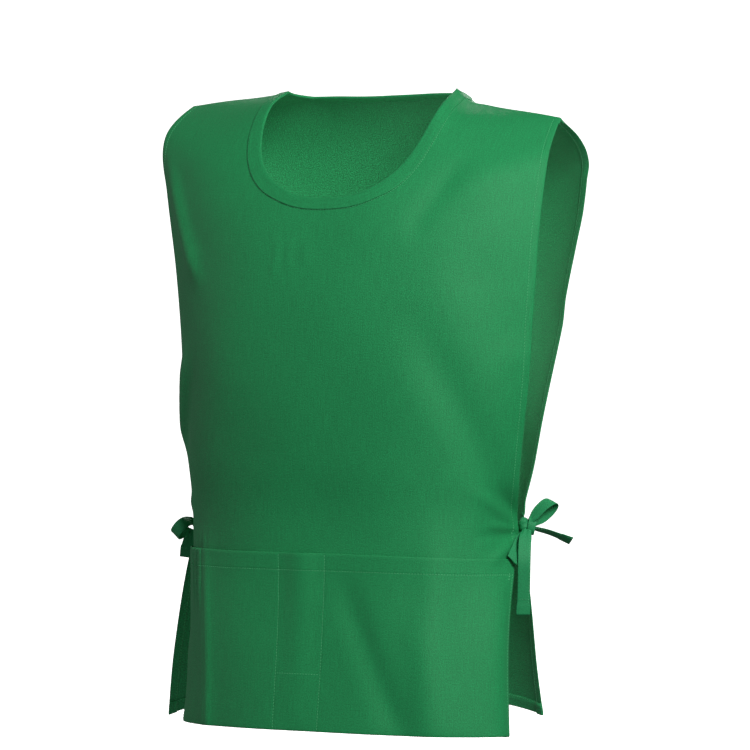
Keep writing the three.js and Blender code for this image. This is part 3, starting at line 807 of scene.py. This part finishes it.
@dataclass
class NeckBandPiece:
    """A 1/2 in strip folded over the neck edge and sewn down on the outside."""

    name: str
    neck: Neckline

    def build(self, material: Material) -> Piece:
        """Carry the band's section round the neckline.

        The section runs from the outer edge over the neck edge to the inside,
        as pairs of distance out from the neckline and height over the face.
        """
        out = np.array([12.3, 12.9, 13.0, 12.7, 12.0, 10.5, 9.0, 6.0, 3.0, 1.2,
                        0.1, -0.6, -0.95, -0.95, -0.6, 0.1, 1.5, 4.0, 8.0])
        height = np.array([0.1, 0.3, 0.75, 1.15, 1.2, 1.1, 1.05, 1.05, 1.0, 0.95,
                           0.75, 0.35, -0.25, -0.95, -1.45, -1.75, -1.85, -1.85, -1.85])
        angle = np.linspace(0.0, math.pi, 220)
        turn, edge = np.meshgrid(angle, out, indexing="ij")
        across, down = self.neck.point(turn, edge)
        # Small puckers where the bias strip is eased round the curve.
        pucker = 0.09 * np.sin(turn * 61 + 1.3 * np.sin(turn * 17)) * np.clip(edge / 6, 0, 1)
        points = self.neck.cloth.at(across, down, height[None, :] + pucker)
        around = self.neck.depth * 2.2 * turn / math.pi
        uv = np.stack([lengths(out, height)[None, :] + 0 * turn, around], -1) * MM
        faces = grid_faces(*turn.shape)
        if self.neck.cloth.face is Face.FRONT:
            faces = faces[:, ::-1]
        piece = make_object(self.name + "_cloth", points.reshape(-1, 3), faces, material, uv.reshape(-1, 2))
        thicken(piece, 0.4)
        return piece

    def sew(self, stitches: Stitches) -> None:
        """Sew the band down, in the step at its outer edge."""
        angle = np.linspace(0.01, math.pi - 0.01, 400)
        across, down = self.neck.point(angle, 13.25)
        stitches.add(self.neck.cloth.at(across, down, np.full_like(angle, 0.2)))


@dataclass
class PocketPiece:
    """Patch pocket across the lower front: turned hem at the top, three compartments."""

    name: str = "front_pocket"
    cloth: Cloth = FRONT

    def gape(self, across: Array, down: Array) -> Array:
        """How far the pocket's back stands off the panel.

        Half a wave squared between one sewn line and the next, growing from
        the foot to the mouth.
        """
        stops = np.array([-SIZE.half, -SIZE.pen_pocket_width, 0.0, SIZE.half])
        i = np.clip(np.searchsorted(stops, across, side="right") - 1, 0, 2)
        share = (across - stops[i]) / (stops[i + 1] - stops[i])
        depth = np.where(i == 1, 0.75, 1.0) * SIZE.pocket_gape
        rise = np.clip((SIZE.length - down) / SIZE.pocket_height, 0, 1)
        return 0.3 + depth * np.sin(np.pi * np.clip(share, 0, 1)) ** 2 * rise**0.6

    def sewn(self, across: Array, down: Array) -> Array:
        """Grooves along the sewn lines."""
        lines = [(across, 0.0), (across, -SIZE.pen_pocket_width)]
        groove = sum(np.exp(-(((value - at) / 1.0) ** 2)) for value, at in lines)
        top = np.exp(-(((down - SIZE.pocket_top - SIZE.pocket_hem + 1.2) / 0.9) ** 2))
        step = 0.2 * fade((down - SIZE.pocket_top - SIZE.pocket_hem + 0.4) / 1.2)
        return step - 0.3 * top - 0.25 * groove

    def build(self, material: Material) -> Piece:
        """Make the pocket, its sides turned under and its mouth folded over."""
        inset, side_height = folded_edge(8.0, 0.95)
        lines = [-SIZE.pen_pocket_width, 0.0]
        fine = np.array([-1.8, -0.8, 0.0, 0.8, 1.8])
        middle = np.concatenate([
            run_of([-SIZE.half + 3.5, lines[0] - 3.5], 1.7), lines[0] + fine,
            run_of([lines[0] + 3.5, lines[1] - 3.5], 2.6), lines[1] + fine,
            run_of([lines[1] + 3.5, SIZE.half - 3.5], 2.6)])
        across_line = np.concatenate([-SIZE.half + inset, middle, SIZE.half - inset[::-1]])
        across_height = np.concatenate([side_height, 0 * middle, side_height[::-1]])
        mouth, mouth_height = folded_edge(SIZE.pocket_hem, 0.95)
        near = SIZE.pocket_top + SIZE.pocket_hem + np.array([-3.0, -2.2, -1.6, -1.0, -0.4, 0.4, 1.2])
        # The foot is turned under the panel's hem and up behind it.
        foot = SIZE.length + np.array([0.3, 0.8, 1.0, 1.0, 0.8, 0.2, -2.0, -6.0, -11.0])
        foot_height = np.array([-0.05, -0.3, -0.8, -2.4, -3.0, -3.4, -3.5, -3.5, -3.5])
        body = run_of([near[-1] + 2.0, SIZE.length - 1.5], 3.4)
        hem = run_of([SIZE.pocket_top + 3.5, near[0] - 1.5], 3.0)
        rows = np.concatenate([SIZE.pocket_top + mouth, hem, near, body, foot])
        row_height = np.concatenate([mouth_height, np.zeros(len(hem) + len(near) + len(body)), foot_height])
        across, down = np.meshgrid(across_line, rows)
        height = across_height[None, :] + row_height[:, None]
        face = np.where((height == 0), self.sewn(across, down), 0)
        points = self.cloth.at(across, down, self.gape(across, down) + 1.05 + height + face)
        uv = flat_uv(across_line, across_height, rows, row_height)
        piece = make_object(self.name + "_cloth", points.reshape(-1, 3), grid_faces(*across.shape), material, uv)
        thicken(piece, 0.45)
        return piece

    def sew(self, stitches: Stitches) -> None:
        """Sew the mouth hem, the dividing lines and the sides, their tacks and the pen pocket's foot."""
        up = lambda a, d: self.cloth.at(a, d, self.gape(a, d) + 1.08)
        across = np.linspace(-SIZE.half + 2, SIZE.half - 2, 400)
        stitches.add(up(across, np.full_like(across, SIZE.pocket_top + SIZE.pocket_hem - 1.2)))
        down = np.linspace(SIZE.pocket_top + 1.5, SIZE.length - 1, 200)
        for line in (0.0, -SIZE.pen_pocket_width, SIZE.half - 4.0, -SIZE.half + 4.0):
            stitches.add(up(np.full_like(down, line), down))
        tack = np.linspace(SIZE.pocket_top + 15, SIZE.pocket_top + 25, 12)
        for line in (SIZE.half - 9.0, SIZE.half - 9.8, 9.0 - SIZE.half, 9.8 - SIZE.half):
            stitches.add(up(np.full_like(tack, line), tack))
        foot = np.linspace(-SIZE.pen_pocket_width + 1, -1, 40)
        stitches.add(up(foot, np.full_like(foot, SIZE.pocket_top + SIZE.pen_pocket_depth)))


@dataclass(frozen=True)
class Loop:
    """One loop of a bow.

    Attributes:
        angle: degrees from straight out, in the bow's plane.
        belly: how far the loop gapes.
        base: where on the knot it starts, 1 at the very front.
        forward: how far it stands off to the fore.
        roll: 0 shows the face of the ribbon, 90 the hole of the loop.
        yaw: degrees turned from the bow's plane to the fore.
        slant: how much the fold at its end leans back towards the knot.
    """

    angle: float
    belly: float
    length: float = SIZE.loop_length
    base: float = 0.0
    forward: float = 0.0
    roll: float = 0.0
    yaw: float = 0.0
    slant: float = 0.0


@dataclass
class BowPiece:
    """Tie bow at one side of the waist: two straps, a knot, two loops and two tails."""

    side: Side

    def __post_init__(self) -> None:
        """Work out the bow's own directions and the knot's place."""
        self.routes: list[tuple[tuple[Array, Array, Array, Array], bool]] = []
        turn = math.radians(SIZE.bow_turn)
        sign = self.side.value
        self.left = self.side is Side.LEFT
        self.out = sign * np.array([math.cos(turn), math.sin(turn), 0.0])
        self.up = np.array([0.0, 0.0, 1.0])
        self.fore = np.array([math.sin(turn), -math.cos(turn), 0.0])
        share = 0.2 if self.left else 0.5
        near, far = (self.off_edge(cloth, SIZE.tie_drop) for cloth in (FRONT, BACK))
        middle = (1 - share) * near + share * far
        self.knot_at = middle + SIZE.tie_width * np.array(
            [sign * (0.62 if self.left else 0.5), 0.0, 0.15 if self.left else -1.1])

    @property
    def prefix(self) -> str:
        """Start of the names of this bow's pieces."""
        return "left_bow_" if self.left else "right_bow_"

    def off_edge(self, cloth: Cloth, down: float, inset: float = -0.6, height: float = -0.6) -> Array:
        """Point in the wall of the cloth at a panel's side edge, in millimetres."""
        return cloth.at(self.side.value * (SIZE.half - inset), down, height) / MM

    def mix(self, out: float, up: float, fore: float) -> Array:
        """Vector in the bow's own directions."""
        return out * self.out + up * self.up + fore * self.fore

    def ribbon(self, name: str, path: Array, wide: Array, material: Material,
               gather: tuple[float, float] = (0.0, 0.0), width: float = SIZE.tie_width,
               end_hem: bool = False) -> Piece:
        """A flat tie carried along a path.

        The section is a flat lens: x = w/2 cos p, z = t/2 sin p |sin p|^-0.4.
        Near a gathered end it narrows and puckers lengthwise.

        Args:
            name: piece name.
            path: (n, 3) points in millimetres.
            wide: (n, 3) or (3,) way that the width lies.
            material: the cloth.
            gather: how strongly each end is drawn together, 0 to 1.
            width: full width.
            end_hem: whether the far end is a turned hem.

        Returns:
            The piece, a closed mesh.
        """
        count = len(path)
        along = unit(np.gradient(path, axis=0))
        wide = np.broadcast_to(wide, path.shape)
        wide = unit(wide - along * (wide * along).sum(-1, keepdims=True))
        thick = np.cross(wide, along)
        run = np.concatenate([[0.0], np.cumsum(np.linalg.norm(np.diff(path, axis=0), axis=1))])
        draw = gather[0] * np.exp(-((run / 7.0) ** 2)) + gather[1] * np.exp(-(((run[-1] - run) / 7.0) ** 2))
        hem = (run > run[-1] - TAIL_HEM).astype(float) if end_hem else np.zeros(count)
        half_width = 0.5 * width * (1 - 0.5 * draw) + 0.7 * hem
        half_thick = 0.5 * SIZE.tie_thickness * (1 + 0.5 * draw + 0.5 * hem)
        ring = 2 * np.pi * np.arange(RIBBON_CORNERS) / RIBBON_CORNERS
        x = np.cos(ring)[None, :] * half_width[:, None]
        z = (np.sign(np.sin(ring)) * np.abs(np.sin(ring)) ** 0.6)[None, :] * half_thick[:, None]
        pucker = draw[:, None] * 1.3 * np.cos(np.pi * 2.2 * np.cos(ring))[None, :]
        crown = 0.22 * np.sin(run[:, None] / 9.0 + 2.0 * np.cos(ring)[None, :])
        lift = (z + pucker + crown)[..., None]
        points = path[:, None] + x[..., None] * wide[:, None] + lift * thick[:, None]
        if not name.endswith(("strap", "wrap")):
            self.routes.append(((path, wide, thick, half_width), end_hem))
        fan = np.arange(1, RIBBON_CORNERS - 1)
        start_fan = np.stack([0 * fan, fan, fan + 1], -1)
        end_fan = (count - 1) * RIBBON_CORNERS + start_fan[:, ::-1]
        triangles = np.concatenate([tube_triangles(count, RIBBON_CORNERS), start_fan, end_fan])
        uv = MM * np.stack(np.broadcast_arrays(x, run[:, None]), -1).reshape(-1, 2)
        return make_object(name + "_cloth", points.reshape(-1, 3) * MM, triangles, material, uv)

    def knot_reach(self, lie: float, base: float) -> float:
        """Distance from the knot's middle to just off its surface."""
        return (math.hypot(SIZE.knot_width * math.cos(lie), SIZE.knot_height * math.sin(lie)) / 2
                * math.sqrt(1 - base**2) + 0.3)

    def loop_path(self, loop: Loop) -> tuple[Array, Array]:
        """Path of a loop and the way its width lies.

        Out along the reach as a half wave, gaping as a cosine that swells in
        the middle: the same kind of curve as the solid's.
        """
        lie, tilt, aside = (math.radians(v) for v in (loop.angle, loop.roll, loop.yaw))
        reach = self.mix(math.cos(lie) * math.cos(aside), math.sin(lie), math.cos(lie) * math.sin(aside))
        lift = self.mix(-math.sin(lie) * math.cos(aside), math.cos(lie), -math.sin(lie) * math.sin(aside))
        level = self.mix(-math.sin(aside), 0, math.cos(aside))
        wide = lift * math.cos(tilt) - level * math.sin(tilt)
        gaping = lift * math.sin(tilt) + level * math.cos(tilt)
        start = self.knot_reach(lie, 0.8 * loop.base) - 1.2
        t = np.linspace(0, 1, 90)
        swell = np.sin(np.pi * t)
        path = (self.knot_at + reach * (start + (loop.length - start) * swell[:, None] ** 0.9)
                + gaping * (loop.belly * np.cos(np.pi * t) * (0.35 + 0.65 * swell))[:, None]
                + self.fore * (loop.base * SIZE.knot_width / 2 + loop.forward * swell)[:, None])
        return path, wide + reach * (loop.slant * swell**4)[:, None]

    def tail_path(self, rows: Sequence[Sequence[float]]) -> Array:
        """Smooth path through rows of out, up and fore, from the knot."""
        stops = np.array([self.knot_at + self.mix(*row) for row in rows])
        return smooth_path(np.linspace(0, 1, len(stops)), stops, TAIL_POINTS)

    def knot(self, material: Material) -> Piece:
        """The knot: an egg wrapped by two slanting turns of the tie.

        Radius = 1 + ridges along lines of constant latitude + slant * longitude,
        pinched at the middle where the wrap crosses.
        """
        rows, around = 36, 64
        theta = np.linspace(0, np.pi, rows)[:, None]
        phi = np.linspace(0, 2 * np.pi, around + 1)[None, :-1]
        wrap = np.cos(3.1 * (theta + 0.35 * np.cos(phi)) * 2)
        pinch = np.exp(-(((theta - 1.5 - 0.3 * np.cos(phi)) / 0.16) ** 2))
        radius = 0.95 + 0.07 * wrap * np.sin(theta) - 0.05 * pinch
        local = np.stack(np.broadcast_arrays(
            0.5 * SIZE.knot_width * radius * np.sin(theta) * np.cos(phi),
            0.5 * SIZE.knot_width * radius * np.sin(theta) * np.sin(phi),
            0.5 * SIZE.knot_height * radius * np.cos(theta)), -1)
        middle = self.knot_at + (self.mix(-3.0, 3.0, 0.5) if self.left else self.mix(-3.0, 0, 0))
        points = middle + local[..., :1] * self.out + local[..., 1:2] * self.fore + local[..., 2:] * self.up
        # The first and last rings shrink to a point each, and their flat triangles go.
        last = (rows - 1) * around
        triangles = np.minimum(tube_triangles(rows, around), last)
        triangles = np.where(triangles < around, 0, triangles)
        triangles = triangles[(np.diff(np.sort(triangles, 1), axis=1) > 0).all(1)]
        if self.left:
            triangles = triangles[:, ::-1]
        used = np.unique(triangles)
        number = np.zeros(rows * around, int)
        number[used] = np.arange(len(used))
        uv = np.stack(np.broadcast_arrays(phi * 5.0, theta * 6.0), -1).reshape(-1, 2) * MM
        points = points.reshape(-1, 3)[used] * MM
        return make_object(self.prefix + "knot_cloth", points, number[triangles], material, uv[used])

    def strap(self, cloth: Cloth) -> tuple[Array, Array]:
        """Path of a strap, from under the panel's hem to the knot, and its width."""
        start = self.off_edge(cloth, SIZE.tie_drop, inset=8.5, height=-2.0)
        edge = self.off_edge(cloth, SIZE.tie_drop, inset=-0.5, height=-1.3)
        level = unit((edge - self.knot_at) * np.array([1, 1, 0]))
        end = self.knot_at + level * (SIZE.knot_width / 2 - 0.8)
        return smooth_path(np.array([0.0, 0.55, 1.0]), np.array([start, edge, end]), 26), self.up

    def wrap(self) -> tuple[Array, Array]:
        """Path of the turn of tie that crosses the knot's front, and its width.

        One turn round the knot: an ellipse in fore and up, a little off the
        knot's skin, leaning outward at the top.
        """
        around = np.linspace(-1.02, 1.02, 80) * np.pi
        fore = (0.5 * SIZE.knot_width + 0.5) * np.cos(around)
        up = (0.5 * SIZE.knot_height + 0.3) * np.sin(around)
        out = (0.4 if self.left else -0.4) * SIZE.knot_width + 0.2 * up
        up = up + (1.5 if self.left else 0)
        path = self.knot_at + out[:, None] * self.out + up[:, None] * self.up + fore[:, None] * self.fore
        return path, self.mix(1, -0.25, 0)

    def build(self, material: Material) -> dict[str, Piece]:
        """Make every piece of the bow, keyed by its CAD node."""
        w, r, long, short = SIZE.tie_width, SIZE.knot_width / 2, SIZE.long_tail, SIZE.short_tail
        t = np.linspace(0, 1, TAIL_POINTS)[:, None]
        if self.left:
            length = 1.18 * SIZE.loop_length
            loops = {"upper_loop": Loop(44, 0.95 * w, 1.06 * length, roll=40, slant=-0.3),
                     "lower_loop": Loop(243, 0.25 * w, length, base=0.1, forward=1.85 * w, roll=12,
                                        slant=0.45)}
            long_rows = [(0.0, -0.1 * SIZE.knot_height, 1.2 * r), (-0.2 * w, -0.14 * long, 1.3 * w),
                         (-0.28 * w, -0.34 * long, 1.9 * w), (-0.3 * w, -0.6 * long, 1.7 * w),
                         (-0.35 * w, -0.98 * long, 1.2 * w)]
            long_wide = self.mix(1, 0, -0.15)
            short_rows = [(0.75 * r, -0.1 * r, -0.9 * r), (0.5 * short, -0.12 * short, -0.95 * w),
                          (short, -0.32 * short, -1.1 * w)]
            short_wide = self.up * (0.25 + 0.5 * t) + self.fore
        else:
            loops = {"upper_loop": Loop(-14, 1.35 * w, roll=46, yaw=52),
                     "lower_loop": Loop(190, 0.3 * w)}
            long_rows = [(-0.1 * w, -0.5 * SIZE.knot_height + 1, -0.1 * w), (-0.2 * w, -0.4 * long, 0.0),
                         (-0.3 * w, -long, 0.0)]
            long_wide = self.mix(1, 0, 0)
            short_rows = [(0.1 * r, -0.5 * SIZE.knot_height + 1, 0.5 * r), (1.2 * r, -0.5 * short, 0.6 * r),
                          (1.5 * r, -0.8 * short, 0.6 * r)]
            short_wide = self.mix(1, -0.1, -0.2)
        make = lambda node, *route, **how: self.ribbon(self.prefix + node, *route, material, **how)
        pieces = {node: make(node, *self.loop_path(loop), gather=(0.8, 0.8)) for node, loop in loops.items()}
        for node, rows, wide in (("long_tail", long_rows, long_wide), ("short_tail", short_rows, short_wide)):
            pieces[node] = make(node, self.tail_path(rows), wide, gather=(0.6, 0.0), end_hem=True)
        for node, cloth in (("front_strap", FRONT), ("back_strap", BACK)):
            pieces[node] = make(node, *self.strap(cloth), gather=(0.0, 0.4), width=0.95 * w)
        pieces["knot"] = self.knot(material)
        return {self.prefix + node: piece for node, piece in pieces.items()}

    def dress_knot(self, material: Material) -> Piece:
        """Make the turn of tie that crosses the knot."""
        return self.ribbon(self.prefix + "knot_wrap", *self.wrap(), material, width=0.62 * SIZE.tie_width)

    def sew(self, stitches: Stitches) -> None:
        """Sew the ties' long edges, the turned ends of their tails and the tacks on the hems."""
        down = np.linspace(SIZE.tie_drop - 5.5, SIZE.tie_drop + 5.5, 12)
        for cloth in (FRONT, BACK):
            for inset in (8.2, 9.0):
                edge = np.full_like(down, self.side.value * (SIZE.half - inset))
                stitches.add(cloth.at(edge, down, np.full_like(down, 0.25)))
        for route, ends in self.routes:
            path, wide, thick, half = route
            run = np.linalg.norm(np.diff(path, axis=0), axis=1).sum()
            for face in (1, -1):
                lift = thick * face * (0.5 * SIZE.tie_thickness + 0.05)
                stitches.add((path + wide * (half - 1.6)[:, None] + lift) * MM)
                if ends:
                    at = int(round((1 - (TAIL_HEM - 1) / run) * (len(path) - 1)))
                    sides = np.linspace(-1, 1, 12)[:, None] * (half[at] - 0.8)
                    stitches.add((path[at] + sides * wide[at] + 1.3 * lift[at]) * MM)


# Studio


@dataclass(frozen=True)
class Studio:
    """Camera at the photograph's angle, pale sweep and soft lights."""

    azimuth: float = 25.0
    distance: float = 3.434
    picture_px: float = 750.0
    sensor_mm: float = 36.0
    focal_px: float = 3286.0
    horizon_px: float = 350.0
    axis_px: float = 372.0
    eye_height: float = -0.2703
    floor: float = -1.05

    def place(self, right: float, back: float, height: float) -> Place:
        """Point given to the camera's right, away from it and up."""
        a = math.radians(self.azimuth)
        return (right * math.cos(a) - back * math.sin(a), right * math.sin(a) + back * math.cos(a), height)

    def camera(self) -> None:
        """Level camera; the shift only frames the picture as the photograph does."""
        data = bpy.data.cameras.new("camera")
        data.sensor_width = self.sensor_mm
        data.lens = self.sensor_mm * self.focal_px / self.picture_px
        data.shift_x = 0.5 - self.axis_px / self.picture_px
        data.shift_y = self.horizon_px / self.picture_px - 0.5
        data.clip_end = 60
        eye = bpy.data.objects.new("camera", data)
        eye.location = self.place(0, -self.distance, self.eye_height)
        eye.rotation_euler = (math.pi / 2, 0, math.radians(self.azimuth))
        bpy.context.scene.collection.objects.link(eye)
        bpy.context.scene.camera = eye

    def light(self, name: str, kind: str, place: Place, power: float) -> Piece:
        """Light of a kind, at a place and with a power in watts."""
        data = bpy.data.lights.new(name, kind)
        data.energy = power
        light = bpy.data.objects.new(name, data)
        light.location = place
        bpy.context.scene.collection.objects.link(light)
        return light

    def lamp(self, name: str, place: Place, size: float, power: float) -> None:
        """Square soft light aimed at the chest."""
        light = self.light(name, "AREA", self.place(*place), power)
        light.data.size = size
        aim = np.array([0.0, 0.0, -0.3]) - np.array(light.location)
        flat = math.hypot(aim[0], aim[1])
        light.rotation_euler = (math.pi / 2 + math.atan2(aim[2], flat), 0, math.atan2(-aim[0], aim[1]))

    def bounce(self, place: Place, radius: float, power: float) -> None:
        """Soft round light inside the apron, which keeps its inner faces readable."""
        self.light("bounce", "POINT", place, power).data.shadow_soft_size = radius

    def sweep(self) -> Piece:
        """Floor that curves up into a wall: a profile carried sideways."""
        angle = np.linspace(0, math.pi / 2, 16)
        back = np.concatenate([[-7.0], 2.6 + 1.2 * np.sin(angle), [3.8]])
        up = np.concatenate([[0.0], 1.2 * (1 - np.cos(angle)), [7.0]]) + self.floor
        points = np.array([self.place(side, b, z) for b, z in zip(back, up) for side in (-9.0, 9.0)])
        paper = SeamlessPaper("seamless_paper", "#fdfdfc", 1.0).build()
        faces = grid_faces(len(back), 2)[:, ::-1]
        sweep = make_object("studio_sweep", points, faces, paper)
        # The paper lights nothing else: only the lamps and the world shade the cloth.
        sweep.visible_diffuse = False
        sweep.visible_glossy = False
        return sweep

    def build(self) -> None:
        """Set up camera, world, sweep and lights."""
        self.camera()
        self.sweep()
        world = bpy.data.worlds.new("studio")
        world.use_nodes = True
        shade = world.node_tree.nodes["Background"]
        shade.inputs["Color"].default_value = linear("#f4f6f8")
        shade.inputs["Strength"].default_value = 0.15
        bpy.context.scene.world = world
        bpy.context.scene.view_settings.view_transform = "Standard"
        self.lamp("key", (1.25, -2.6, 1.3), 1.2, 102)
        self.lamp("fill", (-2.6, 0.6, 0.1), 1.5, 9)
        self.lamp("back", (0.6, 2.8, 1.0), 1.6, 46)
        self.bounce((0.0, 0.0, -0.2), 0.1, 0.55)
        self.bounce((-0.02, 0.0, -0.66), 0.05, 0.12)


def dress(piece: Piece, node: str | None = None) -> None:
    """Make a piece ride on the apron, and stand for its node if it has one."""
    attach(piece, "root")
    if node:
        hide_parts(node)


def main() -> None:
    """Build the studio and then the apron, piece by piece."""
    logging.basicConfig(level=logging.INFO, format="%(name)s: %(message)s")
    Studio().build()
    face_cloth = Poplin("green_poplin", "#1b8c50").build()
    back_cloth = Poplin("green_poplin_back", "#1f8c52", sheen=0.2, grain=0.85).build()
    tie_cloth = Poplin("green_poplin_tie", "#1f8c55", mottle=0.08).build()
    thread = SewingThread("green_thread", "#62c98c").build()

    necks = {"front": Neckline(FRONT, SIZE.front_neck_depth, SIZE.front_neck_squareness),
             "back": Neckline(BACK, SIZE.back_neck_depth, SIZE.back_neck_squareness)}
    for name, cloth, finish in (("front", FRONT, face_cloth), ("back", BACK, back_cloth)):
        panel = PanelPiece(f"{name}_panel", cloth, necks[name])
        piece = panel.build(finish)
        dress(piece, panel.name)
        stitches = Stitches(f"{name}_stitching")
        panel.sew(stitches)
        band = NeckBandPiece(f"{name}_neck_band", necks[name])
        strip = band.build(face_cloth)
        dress(strip, band.name)
        band.sew(stitches)
        sewn = stitches.build(thread)
        dress(sewn)
        log.info("%s panel, band and stitching", name)

    pocket = PocketPiece()
    bag = pocket.build(face_cloth)
    dress(bag, pocket.name)
    stitches = Stitches("pocket_stitching")
    pocket.sew(stitches)
    sewn = stitches.build(thread)
    dress(sewn)
    log.info("pocket and stitching")

    for side in Side:
        bow = BowPiece(side)
        for node, piece in bow.build(tie_cloth).items():
            dress(piece, node)
        stitches = Stitches(bow.prefix + "stitching", radius=0.2)
        bow.sew(stitches)
        for extra in (bow.dress_knot(tie_cloth), stitches.build(thread)):
            dress(extra)
        log.info("%s bow", side.name.lower())


if __name__ == "__main__":
    main()
